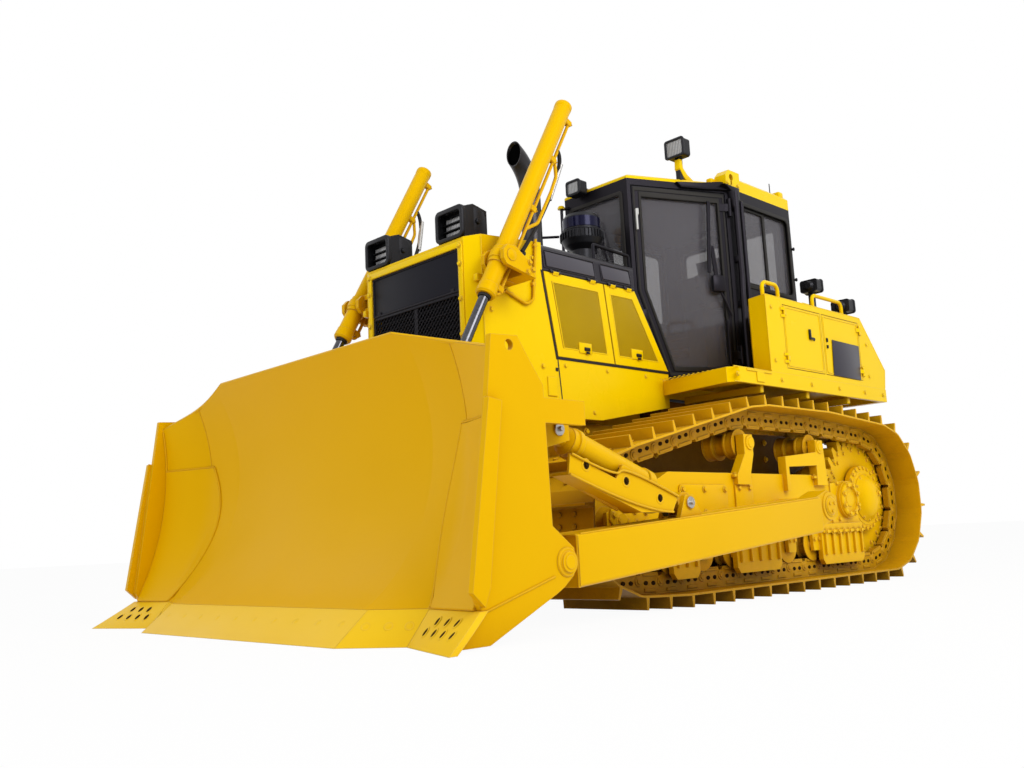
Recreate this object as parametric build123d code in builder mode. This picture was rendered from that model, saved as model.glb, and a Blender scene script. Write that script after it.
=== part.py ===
from build123d import *
from math import acos, atan2, cos, degrees, hypot, pi, radians, sin, sqrt, tan
import os

os.makedirs("parts", exist_ok=True)

# Bulldozer with a semi-U blade on outside push arms and an oval track each side.
# Millimetres.  +X is forward, +Y the machine's left, +Z up, z = 0 at the grouser tips.
# The origin is under the middle of the machine's box, blade tip to drawbar.

# ---- tracks: the pin line runs round these four wheels -------------------------------
gauge = 1880                # between the track centres
shoe_width = 610
shoe_count = 42             # shoes in each loop
grouser_height = 65
shoe_thickness = 12
pin_to_shoe = 73            # pin line to the inside of the shoe
rail_height = 50            # pin line to the rail that the rollers run on
link_width = 45
link_gap = 120              # clear width between the two rows of links
sprocket_x = -2045
sprocket_pitch_radius = 464
sprocket_teeth = 29
idler_x = 965
idler_pitch_radius = 320
idler_lift = 18             # the idler's pin line above the rollers'
carrier_xs = (-350, -1252)
carrier_z = 972
carrier_radius = 92
post_outer_y = 1130         # outer face of the carrier rollers' posts
post_thickness = 60
roller_radius = 95
roller_count = 7
roller_first_x = 490        # front roller
roller_last_x = -1490       # rear roller
wheel_gap = 0.3             # running gap of a wheel on its rail

# ---- track frames --------------------------------------------------------------------
frame_half_width = 155
frame_bottom = 420
frame_top = 775
frame_front_x = 660
frame_rear_x = -1505
guard_thickness = 25
guard_bottom = 225
pivot_cap_radius = 135
roller_guards = ((540, 280), (-120, -640), (-1190, -1800))     # front and rear end of each
trunnion_x = -690           # push-arm pivot on the track frame
trunnion_z = 540
trunnion_radius = 65

# ---- hood and hull widths -------------------------------------------------------------
hood_half_width = 560
skirt_depth = 80            # the hood's sides stand out from the hull
hull_half_width = hood_half_width - skirt_depth

# ---- hull ----------------------------------------------------------------------------
belly_z = 415
deck_z = 1130               # top of the engine rails
case_top = 1330             # top of the transmission case, under the cab
case_front_x = -300
belly_front_x = 900
nose_x = 1440
hull_rear_x = -2450
drawbar_rear_x = -2750
drawbar_z = 560
drawbar_pin_radius = 30
pivot_x = -1618             # shaft that the track frames pivot on
pivot_z = 598
pivot_radius = 85
equalizer_x = 300
equalizer_width = 230
equalizer_depth = 150

# ---- hood ----------------------------------------------------------------------------
hood_top_z = 2235
band_bottom_z = 2060        # lower edge of the black upper hood
guard_front_x = 1480        # face of the radiator guard
guard_rear_x = 915
guard_top_z = 2190
door_bottom_z = 1525        # lower edge of the engine doors
door_slant = 95             # how far the front door's edge leans back, top to bottom
door_split_x = 335
door_rear_x = 12
engine_half_width = 330
engine_rear_x = -250
engine_front_x = 783
engine_top_z = 1950
panel_thickness = 26
panel_gap = 6
grille_half_width = 427
grille_bottom_z = 1180
grille_top_z = 2130

# ---- cab -----------------------------------------------------------------------------
cab_front_x = -304
cab_front_half = 310
cab_side_x = -1100          # door pillar
cab_side_half = 660
cab_rear_x = -2090
cab_floor_z = 1460
cab_top_z = 3020
cab_wall = 60
roof_thickness = 28         # front part of the roof
roof_rise = 85              # the thicker rear part above it
roof_step_x = -1190
door_thickness = 44
glass_thickness = 8
seat_x = -1470
seat_half_width = 260
cushion_z = 1850
seat_top_z = 2570
console_z = 2140

# ---- fenders, boxes and tank ---------------------------------------------------------
fender_outer = 1205
fender_top = 1450
fender_depth = 100
fender_front_x = -127
fender_rear_x = -2260
box_front_x = -580
box_gap = 40                # between the cab's side and the boxes
box_inner = cab_side_half + box_gap
box_top = 1985
box_wall = 20
tank_top = 2110
tank_rear_x = -2550

# ---- blade ---------------------------------------------------------------------------
blade_tip_x = 2750          # tip of the cutting edge on the ground
edge_top_z = 147
mid_z = 740
blade_top_z = 1438
plate = 30                  # moldboard plate
edge_thickness = 28
# y, then x of the face at the cutting edge's top, at mid height and at the top
stations = (
    (940, 2571, 2165, 2330),
    (1235, 2456, 2190, 2330),
    (1590, 2505, 2330, 2400),
)
blade_half = 1705           # outer corner of the end bits

# ---- push arms and lift cylinders ----------------------------------------------------
arm_inner = 1300
arm_width = 200
arm_rear_x = -525
arm_rear_z = 487            # middle of the arm at its rear and front ends
arm_rear_height = 220
arm_front_x = 1762
arm_front_z = 312
arm_front_height = 247
boss_width = 130            # round the pivot
boss_radius = 102
arm_pin_x = 1975            # pin between arm and blade
arm_pin_z = 315
arm_pin_radius = 45
tongue_width = 100
arm_y = arm_inner + arm_width / 2
tilt_y = arm_y - 15
tilt_top = (1815, 925)      # pin on the blade
tilt_foot = (815, 574)      # pin on the arm
tilt_eye_width = 90
tilt_pin_radius = 30
lift_stand = 140            # from the hood's side to the middle of the lift cylinders
lift_y = hood_half_width + lift_stand
yoke_x = 1406
yoke_z = 2012
eye_x = 1990                # rod eye on the back of the blade
eye_z = 972
barrel_radius = 54
barrel_up = 1266            # from the yoke to the top of the barrel
barrel_down = 260
yoke_pin_radius = 30
cheek_thickness = 30
cheek_gap = 12              # beside the barrel
rod_radius = 30
rod_length = 1550

track_y = gauge / 2
pin_height = pin_to_shoe + shoe_thickness + grouser_height
sprocket_z = pin_height + sprocket_pitch_radius
idler_z = pin_height + idler_lift + idler_pitch_radius
roller_z = pin_height + rail_height + roller_radius + wheel_gap


def across(y):
    """Plane of a side view at y: sketch x is X, sketch y is Z, extrude goes to -Y."""
    return Plane(origin=(0, y, 0), x_dir=(1, 0, 0), z_dir=(0, -1, 0))


def side_slab(points, y_high, thickness):
    """A plate seen from the side, from y_high inwards by its thickness."""
    with BuildSketch(across(y_high)) as outline:
        with BuildLine():
            Polyline(*points, close=True)
        make_face()
    extrude(outline.sketch, amount=thickness)


def round_bar(start, end, radius):
    """A round bar from one point to another."""
    axis = Vector(*end) - Vector(*start)
    with BuildSketch(Plane(origin=start, z_dir=axis)) as end_face:
        Circle(radius)
    extrude(end_face.sketch, amount=axis.length)


# ---- pin line ------------------------------------------------------------------------
# Idler, carriers, sprocket and front roller: x, z, radius of the pin line round each.
carrier_seat = 15           # the chain's flat links bridge the small carrier rollers
front_seat = 12             # and the bend just ahead of the front roller
front_bend_x = roller_first_x + 95
wheels = [(idler_x, idler_z, idler_pitch_radius)]
for x in carrier_xs:
    wheels.append((x, carrier_z, carrier_radius + rail_height + carrier_seat))
wheels.append((sprocket_x, sprocket_z, sprocket_pitch_radius))
wheels.append((front_bend_x, roller_z + front_seat, roller_radius + rail_height + wheel_gap + front_seat))


def tangent_angle(wheel, following):
    """Direction of the outward normal of the run from one wheel to the following one."""
    dx = following[0] - wheel[0]
    dz = following[1] - wheel[1]
    return atan2(dz, dx) - acos((wheel[2] - following[2]) / hypot(dx, dz))


runs = []                   # arcs and straights in turn: length, point at a distance
for i, wheel in enumerate(wheels):
    following = wheels[(i + 1) % len(wheels)]
    arrive = tangent_angle(wheels[i - 1], wheel)
    leave = tangent_angle(wheel, following)
    turn = (leave - arrive) % (2 * pi)
    runs.append(("arc", wheel, arrive, turn * wheel[2]))
    start = (wheel[0] + wheel[2] * cos(leave), wheel[1] + wheel[2] * sin(leave))
    end = (following[0] + following[2] * cos(leave), following[1] + following[2] * sin(leave))
    runs.append(("line", start, end, hypot(end[0] - start[0], end[1] - start[1])))

loop_length = sum(run[3] for run in runs)
pitch = loop_length / shoe_count


def pin_at(distance):
    """The point of the pin line at a distance from the top of the idler's front."""
    for kind, first, second, length in runs:
        if distance <= length:
            break
        distance -= length
    if kind == "arc":
        angle = second + distance / first[2]
        return (first[0] + first[2] * cos(angle), first[1] + first[2] * sin(angle))
    share = distance / length
    return tuple(a + (b - a) * share for a, b in zip(first, second))


pins = [pin_at(i * pitch) for i in range(shoe_count)]


def chain_points(profile):
    """A profile of (along, outward) points, repeated on every link of the loop."""
    points = []
    for i, pin in enumerate(pins):
        following = pins[(i + 1) % shoe_count]
        length = hypot(following[0] - pin[0], following[1] - pin[1])
        tx = (following[0] - pin[0]) / length
        tz = (following[1] - pin[1]) / length
        for share, outward in profile:
            along = share * length
            points.append((pin[0] + tx * along + tz * outward, pin[1] + tz * along - tx * outward))
    return points


shoe_top = pin_to_shoe + shoe_thickness
shoe_profile = [(0.02, shoe_top), (0.78, shoe_top), (0.81, pin_height), (0.88, pin_height), (0.91, shoe_top)]
shoe_inside = [(0.03, pin_to_shoe), (0.97, pin_to_shoe)]
link_outside = [(0.03, pin_to_shoe), (0.97, pin_to_shoe)]
link_inside = [(0.02, -12), (0.14, -rail_height), (0.86, -rail_height)]

with BuildPart() as track_left:
    with BuildSketch(across(track_y + shoe_width / 2)):
        with BuildLine():
            Polyline(*chain_points(shoe_profile), close=True)
        make_face()
        with BuildLine():
            Polyline(*chain_points(shoe_inside), close=True)
        make_face(mode=Mode.SUBTRACT)
    extrude(amount=shoe_width)
    for row in (track_y + link_gap / 2 + link_width, track_y - link_gap / 2):
        with BuildSketch(across(row)):
            with BuildLine():
                Polyline(*chain_points(link_outside), close=True)
            make_face()
            with BuildLine():
                Polyline(*chain_points(link_inside), close=True)
            make_face(mode=Mode.SUBTRACT)
        extrude(amount=link_width)
track_left.part.label = "track_left"
export_step(track_left.part, "parts/track_left.step")

with BuildPart() as track_right:
    mirror(track_left.part, about=Plane.XZ)
track_right.part.label = "track_right"
export_step(track_right.part, "parts/track_right.step")

# ---- sprockets with final drives -----------------------------------------------------
sprocket_width = 84
tooth_root = sprocket_pitch_radius - 36
tooth_tip = sprocket_pitch_radius + 30
hub_radius = 247
hub_outer_y = track_y + 190
drive_inner_y = hull_half_width + 40
with BuildPart() as sprockets:
    with BuildSketch(Plane(origin=(sprocket_x, track_y + sprocket_width / 2, sprocket_z),
                           x_dir=(1, 0, 0), z_dir=(0, -1, 0))):
        Circle(tooth_root)
        with PolarLocations(tooth_root - 4, sprocket_teeth):
            Trapezoid(74, tooth_tip - tooth_root + 4, 72, rotation=-90, align=(Align.CENTER, Align.MIN))
    extrude(amount=sprocket_width)
    with BuildSketch(Plane(origin=(sprocket_x, 0, sprocket_z), x_dir=(0, 1, 0), z_dir=(1, 0, 0))):
        with BuildLine():
            Polyline((hull_half_width, 0), (hull_half_width, 230), (drive_inner_y + 120, 300),
                     (track_y - 110, 300), (track_y - 110, 200), (track_y + 60, 200),
                     (track_y + 60, hub_radius), (track_y + 100, hub_radius),
                     (track_y + 108, 205), (track_y + 116, 176), (track_y + 150, 140), (track_y + 176, 80),
                     (track_y + 185, 0), close=True)
        make_face()
    revolve(axis=Axis((sprocket_x, 0, sprocket_z), (0, 1, 0)))
    mirror(about=Plane.XZ)
sprockets.part.label = "sprockets"
export_step(sprockets.part, "parts/sprockets.step")

# ---- idlers --------------------------------------------------------------------------
idler_radius = sqrt(idler_pitch_radius ** 2 - (pitch / 2) ** 2) - rail_height - wheel_gap
tread_half = link_gap / 2 + link_width
inner_face = frame_half_width - guard_thickness
with BuildPart() as idlers:
    with BuildSketch(Plane(origin=(idler_x, track_y, idler_z), x_dir=(0, 1, 0), z_dir=(1, 0, 0))):
        with BuildLine():
            Polyline((0, 0), (0, idler_radius + 25), (link_gap / 2 - 14, idler_radius + 25),
                     (link_gap / 2 - 8, idler_radius), (tread_half, idler_radius),
                     (tread_half, idler_radius - 34), (48, idler_radius - 50), (48, 95),
                     (90, 80), (inner_face, 80), (inner_face, 0), close=True)
        make_face()
    revolve(axis=Axis((idler_x, 0, idler_z), (0, 1, 0)))
    mirror(about=Plane((idler_x, track_y, idler_z), x_dir=(1, 0, 0), z_dir=(0, 1, 0)))
    mirror(about=Plane.XZ)
idlers.part.label = "idlers"
export_step(idlers.part, "parts/idlers.step")

# ---- track rollers and carrier rollers ------------------------------------------------
roller_spacing = (roller_first_x - roller_last_x) / (roller_count - 1)
roller_xs = [roller_first_x - i * roller_spacing for i in range(roller_count)]


def roller(x, z, radius, half_length, flange):
    """A double-flanged roller on its shaft, across the track."""
    with BuildSketch(Plane(origin=(x, track_y, z), x_dir=(0, 1, 0), z_dir=(1, 0, 0))) as half:
        with BuildLine():
            Polyline((0, 0), (0, radius - 22), (link_gap / 2 - 24, radius - 22),
                     (link_gap / 2 - 18, flange), (link_gap / 2 - 6, flange),
                     (link_gap / 2, radius), (tread_half + 3, radius), (tread_half + 5, flange),
                     (tread_half + 13, flange), (tread_half + 15, 50), (half_length, 50),
                     (half_length, 0), close=True)
        make_face()
    revolve(half.sketch, axis=Axis((x, 0, z), (0, 1, 0)))


with BuildPart() as track_rollers:
    for x in roller_xs:
        roller(x, roller_z, roller_radius, inner_face, roller_radius + 20)
    for x in carrier_xs:
        roller(x, carrier_z, carrier_radius, inner_face, carrier_radius + 6)
    mirror(about=Plane((0, track_y, 0), x_dir=(1, 0, 0), z_dir=(0, 1, 0)))
    mirror(about=Plane.XZ)
track_rollers.part.label = "track_rollers"
export_step(track_rollers.part, "parts/track_rollers.step")

# ---- track frames ----------------------------------------------------------------------
frame_outer = track_y + frame_half_width
yoke_top = idler_z + 95
with BuildPart() as track_frames:
    side_slab([(frame_rear_x, frame_bottom + 60), (frame_rear_x + 80, frame_bottom), (frame_front_x, frame_bottom),
               (frame_front_x, frame_top - 70), (frame_front_x - 160, frame_top),
               (frame_rear_x + 250, frame_top), (frame_rear_x, frame_top - 90)],
              frame_outer, 2 * frame_half_width)
    fillet(track_frames.edges().filter_by(Axis.Y).group_by(Axis.Z)[-1], 40)
    for outer in (frame_outer, track_y - frame_half_width + guard_thickness):
        side_slab([(frame_front_x - 20, frame_bottom + 10), (frame_front_x - 20, frame_top - 90),
                   (idler_x, yoke_top), (idler_x + 110, yoke_top - 40), (idler_x + 110, idler_z - 60),
                   (idler_x - 40, idler_z - 100)], outer, guard_thickness)
    # a bracket at the outer end of each roller's shaft
    for x in roller_xs:
        side_slab([(x + 60, frame_bottom + 10), (x + 45, roller_z - 45), (x - 45, roller_z - 45),
                   (x - 60, frame_bottom + 10)], frame_outer, guard_thickness)
    # roller guards: one along the inside, three short ones outside
    side_slab([(roller_first_x + 110, frame_bottom + 20), (roller_first_x + 110, guard_bottom + 50),
               (roller_first_x + 70, guard_bottom), (roller_last_x - 70, guard_bottom),
               (roller_last_x - 110, guard_bottom + 50), (frame_rear_x + 60, frame_bottom + 20)],
              track_y - frame_half_width + guard_thickness, guard_thickness)
    for front, rear in roller_guards:
        side_slab([(front, frame_bottom + 10), (front, guard_bottom - 40), (front - 30, guard_bottom - 75),
                   (rear + 30, guard_bottom - 75), (rear, guard_bottom - 40), (rear, frame_bottom + 10)],
                  frame_outer + guard_thickness, guard_thickness + 10)
    # tail plate with the cap of the pivot shaft
    side_slab([(frame_rear_x + 100, frame_top - 60), (frame_rear_x + 100, frame_bottom), (pivot_x + 300, frame_bottom - 80),
               (pivot_x - 215, frame_bottom - 80), (pivot_x - 150, pivot_z - 60), (pivot_x - 135, pivot_z + 60),
               (pivot_x, pivot_z + 140)], frame_outer + 10, 32)
    round_bar((pivot_x, frame_outer, pivot_z), (pivot_x, frame_outer + 35, pivot_z), pivot_cap_radius)
    front_x, rear_x = carrier_xs
    # the front post leans forward at its foot, the rear one stands straight
    side_slab([(front_x + 168, frame_top - 75), (front_x + 168, frame_top - 18), (front_x + 65, carrier_z - 74),
               (front_x + 65, carrier_z + 54), (front_x - 37, carrier_z + 54), (front_x - 37, carrier_z - 74),
               (front_x + 16, frame_top - 18), (front_x + 16, frame_top - 75)], post_outer_y, post_thickness)
    side_slab([(rear_x + 62, frame_top - 75), (rear_x + 50, carrier_z + 50), (rear_x - 53, carrier_z + 48),
               (rear_x - 83, frame_top - 75)], post_outer_y, post_thickness)
    # portal between the posts, over the push-arm pivot
    side_slab([(front_x - 431, frame_top - 115), (front_x - 431, carrier_z - 79), (rear_x + 20, carrier_z - 35),
               (rear_x + 20, carrier_z - 131), (front_x - 470, carrier_z - 147), (front_x - 470, frame_top - 115)],
              post_outer_y, post_thickness)
    round_bar((trunnion_x, frame_outer - 5, trunnion_z), (trunnion_x, arm_y + boss_width / 2 + 12, trunnion_z),
              trunnion_radius)
    mirror(about=Plane.XZ)
track_frames.part.label = "track_frames"
export_step(track_frames.part, "parts/track_frames.step")

# ---- hull --------------------------------------------------------------------------------
with BuildPart() as main_frame:
    side_slab([(hull_rear_x, belly_z + 225), (hull_rear_x + 170, belly_z), (belly_front_x, belly_z),
               (nose_x - 110, belly_z + 145), (nose_x, belly_z + 345), (nose_x, deck_z), (case_front_x, deck_z),
               (case_front_x, case_top), (hull_rear_x, case_top)], hull_half_width, 2 * hull_half_width)
    fillet(main_frame.edges().filter_by(Axis.X).group_by(Axis.Z)[0], 60)
    # pivot shaft and equalizer bar between the track frames
    frame_inner = track_y - frame_half_width
    round_bar((pivot_x, -frame_inner, pivot_z), (pivot_x, frame_inner, pivot_z), pivot_radius)
    with BuildSketch(Plane.XY.offset(frame_top - 190)):
        with Locations((equalizer_x, 0)):
            Rectangle(equalizer_width, 2 * frame_inner)
    extrude(amount=equalizer_depth)
main_frame.part.label = "main_frame"
export_step(main_frame.part, "parts/main_frame.step")

with BuildPart() as engine_block:
    side_slab([(engine_rear_x, deck_z), (engine_front_x, deck_z), (engine_front_x, engine_top_z),
               (engine_rear_x, engine_top_z)], engine_half_width, 2 * engine_half_width)
engine_block.part.label = "engine_block"
export_step(engine_block.part, "parts/engine_block.step")

# ---- drawbar ------------------------------------------------------------------------------
with BuildPart() as drawbar:
    side_slab([(hull_rear_x, drawbar_z - 110), (hull_rear_x, drawbar_z + 170),
               (hull_rear_x - 60, drawbar_z + 170), (hull_rear_x - 60, drawbar_z - 110)], 200, 400)
    for z in (drawbar_z - 90, drawbar_z + 50):
        with BuildSketch(Plane.XY.offset(z)):
            with Locations((drawbar_rear_x + 120, 0)):
                Circle(120)
            with Locations(((hull_rear_x - 60 + drawbar_rear_x + 120) / 2, 0)):
                Rectangle(hull_rear_x - 60 - drawbar_rear_x - 120, 240)
            with Locations((drawbar_rear_x + 120, 0)):
                Circle(drawbar_pin_radius, mode=Mode.SUBTRACT)
        extrude(amount=50)
drawbar.part.label = "drawbar"
export_step(drawbar.part, "parts/drawbar.step")

# ---- radiator guard ---------------------------------------------------------------------------
with BuildPart() as radiator_guard:
    with BuildSketch(Plane.XY.offset(deck_z)):
        with BuildLine():
            Polyline((guard_front_x, 470), (guard_front_x - 60, hood_half_width),
                     (guard_rear_x - 130, hood_half_width), (guard_rear_x - 130, -hood_half_width),
                     (guard_front_x - 60, -hood_half_width), (guard_front_x, -470), close=True)
        make_face()
    extrude(amount=hood_top_z - deck_z)
    with BuildSketch(across(hood_half_width)):
        with BuildLine():
            Polyline((guard_front_x, guard_top_z), (guard_rear_x, hood_top_z), (guard_front_x, hood_top_z + 1),
                     close=True)
        make_face()
    extrude(amount=2 * hood_half_width, mode=Mode.SUBTRACT)
    with BuildSketch(across(hood_half_width)):
        with BuildLine():
            Polyline((guard_rear_x - 131, deck_z), (guard_rear_x - 131, hood_top_z + 1), (guard_rear_x, hood_top_z + 1),
                     (guard_rear_x, band_bottom_z), (guard_rear_x - door_slant, door_bottom_z),
                     (guard_rear_x - door_slant, deck_z), close=True)
        make_face()
    extrude(amount=2 * hood_half_width, mode=Mode.SUBTRACT)
    with BuildSketch(Plane(origin=(guard_front_x, 0, 0), x_dir=(0, 1, 0), z_dir=(1, 0, 0))):
        with Locations((0, (grille_bottom_z + grille_top_z) / 2)):
            Rectangle(2 * grille_half_width, grille_top_z - grille_bottom_z)
    extrude(amount=-90, mode=Mode.SUBTRACT)
    mirror(about=Plane.XZ)
radiator_guard.part.label = "radiator_guard"
export_step(radiator_guard.part, "parts/radiator_guard.step")

# ---- lift yokes: two cheeks each side, seated on the radiator guard's flanks -------------------
inner_cheek_y = lift_y - barrel_radius - cheek_gap
outer_cheek_y = lift_y + barrel_radius + cheek_gap + cheek_thickness
with BuildPart() as lift_yokes:
    side_slab([(yoke_x - 190, yoke_z - 110), (yoke_x + 10, yoke_z - 75), (yoke_x + 10, yoke_z + 65),
               (yoke_x - 60, yoke_z + 75), (yoke_x - 190, yoke_z)], inner_cheek_y, inner_cheek_y - hood_half_width)
    for y in (inner_cheek_y, outer_cheek_y):
        side_slab([(yoke_x + 40, yoke_z - 58), (yoke_x + 62, yoke_z - 25), (yoke_x + 62, yoke_z + 25),
                   (yoke_x + 30, yoke_z + 58), (yoke_x - 30, yoke_z + 58), (yoke_x - 150, yoke_z - 20),
                   (yoke_x - 190, yoke_z - 110)], y, cheek_thickness)
    side_slab([(yoke_x - 130, yoke_z - 20), (yoke_x - 160, yoke_z - 40), (yoke_x - 190, yoke_z - 110),
               (yoke_x - 115, yoke_z - 90)], outer_cheek_y, outer_cheek_y - hood_half_width)
    with BuildSketch(across(outer_cheek_y + 1)):
        with Locations((yoke_x, yoke_z)):
            Circle(yoke_pin_radius + 0.5)
    extrude(amount=outer_cheek_y + 2 - hood_half_width, mode=Mode.SUBTRACT)
    mirror(about=Plane.XZ)
lift_yokes.part.label = "lift_yokes"
export_step(lift_yokes.part, "parts/lift_yokes.step")

# ---- grille: a name-board blank above a stack of louvres --------------------------------------
board_bottom_z = 1867
louvre_pitch = 46
louvre_count = 14
grille_x = guard_front_x - 90
with BuildPart() as grille:
    with BuildSketch(Plane(origin=(grille_x, 0, 0), x_dir=(0, 1, 0), z_dir=(1, 0, 0))):
        with Locations((0, (grille_bottom_z + grille_top_z) / 2)):
            Rectangle(2 * grille_half_width, grille_top_z - grille_bottom_z)
    extrude(amount=20)
    with BuildSketch(Plane(origin=(grille_x + 20, 0, 0), x_dir=(0, 1, 0), z_dir=(1, 0, 0))):
        with Locations((0, (board_bottom_z + grille_top_z) / 2)):
            Rectangle(2 * grille_half_width, grille_top_z - board_bottom_z)
        with Locations((0, (grille_bottom_z + board_bottom_z) / 2)):
            Rectangle(30, board_bottom_z - grille_bottom_z)
    extrude(amount=60)
    for i in range(louvre_count):
        z = board_bottom_z - 20 - i * louvre_pitch
        side_slab([(grille_x + 10, z), (grille_x + 68, z - 30), (grille_x + 68, z - 36), (grille_x + 10, z - 12)],
                  grille_half_width, 2 * grille_half_width)
grille.part.label = "grille"
export_step(grille.part, "parts/grille.step")

# ---- engine-door hinges ------------------------------------------------------------------------
door_axis_y = hood_half_width + 8
door_axis_z = band_bottom_z - panel_gap / 2
door_hinge_xs = (800, 450, 250, 80)
hinge_half = 25             # half the door's knuckle
fixed_knuckle = 25          # the hood's knuckle on each side of it
knuckle_gap = 0.3
door_barrel_radius = 6


def door_knuckle(x, length, side, up):
    """A knuckle and its leaf, up the hood (up = 1) or down the door (up = -1)."""
    with BuildSketch(Plane(origin=(x, side * door_axis_y, door_axis_z), x_dir=(0, 1, 0), z_dir=(1, 0, 0))) as end:
        with BuildLine():
            Polyline((-9 * side, 4 * up), (-9 * side, 18 * up), (-4 * side, 18 * up), (6 * side, 0),
                     (0, -3 * up), close=True)
        make_face()
        Circle(door_barrel_radius)
    extrude(end.sketch, amount=length)


# ---- upper hood: an open-bottomed cover ------------------------------------------------------
with BuildPart() as hood_top:
    with BuildSketch(Plane.XY.offset(band_bottom_z)):
        with BuildLine():
            Polyline((guard_rear_x, hood_half_width), (door_rear_x, hood_half_width),
                     (cab_front_x, cab_front_half), (cab_front_x, -cab_front_half),
                     (door_rear_x, -hood_half_width), (guard_rear_x, -hood_half_width), close=True)
        make_face()
    extrude(amount=hood_top_z - band_bottom_z)
    fillet(hood_top.edges().filter_by(Axis.X).group_by(Axis.Z)[-1], 50)
    offset(amount=-25, openings=hood_top.faces().sort_by(Axis.Z)[0])
    for side in (1, -1):
        for x in door_hinge_xs:
            for end in (x - hinge_half - knuckle_gap - fixed_knuckle, x + hinge_half + knuckle_gap):
                door_knuckle(end, fixed_knuckle, side, 1)
hood_top.part.label = "hood_top"
export_step(hood_top.part, "parts/hood_top.step")

# ---- fixed lower side panels ------------------------------------------------------------------
panel_outer = hood_half_width
door_foot_x = door_rear_x - 318
with BuildPart() as side_panels:
    side_slab([(guard_rear_x - door_slant, door_bottom_z - panel_gap), (door_foot_x, door_bottom_z - panel_gap),
               (door_foot_x + 10, deck_z + 140), (door_split_x + 95, deck_z + 15),
               (guard_rear_x - door_slant, deck_z + 15)],
              panel_outer, panel_outer - hull_half_width)
    mirror(about=Plane.XZ)
side_panels.part.label = "side_panels"
export_step(side_panels.part, "parts/side_panels.step")

# ---- engine doors -------------------------------------------------------------------------------
door_hinge_z = band_bottom_z - panel_gap
front_door = [(guard_rear_x - 13, door_hinge_z), (guard_rear_x - 13 - door_slant, door_bottom_z),
              (door_split_x - 70 + panel_gap, door_bottom_z), (door_split_x + panel_gap, door_hinge_z)]
rear_door = [(door_split_x - panel_gap, door_hinge_z), (door_split_x - 70 - panel_gap, door_bottom_z),
             (door_foot_x, door_bottom_z), (door_rear_x, door_hinge_z)]


def engine_door(outline, inset):
    """A pressed door panel whose mesh lies in a shallow recess."""
    side_slab(outline, hood_half_width, panel_thickness)
    with BuildSketch(across(hood_half_width)) as recess:
        with BuildLine():
            Polyline(*outline, close=True)
        make_face()
        offset(amount=-inset, mode=Mode.REPLACE)
    extrude(recess.sketch, amount=6, mode=Mode.SUBTRACT)


front_hinges, rear_hinges = door_hinge_xs[:2], door_hinge_xs[2:]
for name, outline, hinge_xs in (("engine_door_left_front", front_door, front_hinges),
                                ("engine_door_left_rear", rear_door, rear_hinges)):
    with BuildPart() as engine_door_left:
        engine_door(outline, 55)
        for x in hinge_xs:
            door_knuckle(x - hinge_half, 2 * hinge_half, 1, -1)
    engine_door_left.part.label = name
    export_step(engine_door_left.part, f"parts/{name}.step")
    with BuildPart() as engine_door_right:
        mirror(engine_door_left.part, about=Plane.XZ)
    engine_door_right.part.label = name.replace("left", "right")
    export_step(engine_door_right.part, f"parts/{engine_door_right.part.label}.step")

# ---- cab frame -------------------------------------------------------------------------------------
door_length = hypot(cab_front_x - cab_side_x, cab_side_half - cab_front_half)
door_cos = (cab_front_x - cab_side_x) / door_length
door_sin = (cab_side_half - cab_front_half) / door_length
door_plane = Plane(origin=(cab_side_x, cab_side_half, 0), x_dir=(door_cos, -door_sin, 0),
                   z_dir=(-door_sin, -door_cos, 0))
cab_plan = [(cab_front_x, cab_front_half), (cab_side_x, cab_side_half), (cab_rear_x + 90, cab_side_half),
            (cab_rear_x, cab_side_half - 120)]
cab_plan = cab_plan + [(x, -y) for x, y in reversed(cab_plan)]
door_low = cab_floor_z + 60
door_high = cab_top_z - 50
door_cut_z = 2160           # above this the door's front edge is upright
door_foot = 628             # length of the door along its foot
# along the door from its hinge, height
door_outline = [(30, door_low), (door_foot, door_low), (door_length - 30, door_cut_z),
                (door_length - 30, door_high), (30, door_high)]
window_low = 2265
window_high = 2925
door_gap = 8
hinge_u = 8                 # the doors' hinge axis: along the door, outside its face
hinge_w = -17
cab_barrel_radius = 14
cab_hinge_zs = (1700, 2850)
cab_knuckle = 60            # height of the door's knuckle


def cab_hinge(z, height, leaf):
    """A knuckle and its leaf on the left door's hinge axis, from z downwards."""
    with BuildSketch(Plane(origin=(cab_side_x, cab_side_half, z), x_dir=(door_cos, -door_sin, 0),
                           z_dir=(0, 0, -1))) as section:
        with BuildLine():
            Polyline(*leaf, close=True)
        make_face()
        with Locations((hinge_u, hinge_w)):
            Circle(cab_barrel_radius)
    extrude(section.sketch, amount=height)


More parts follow.
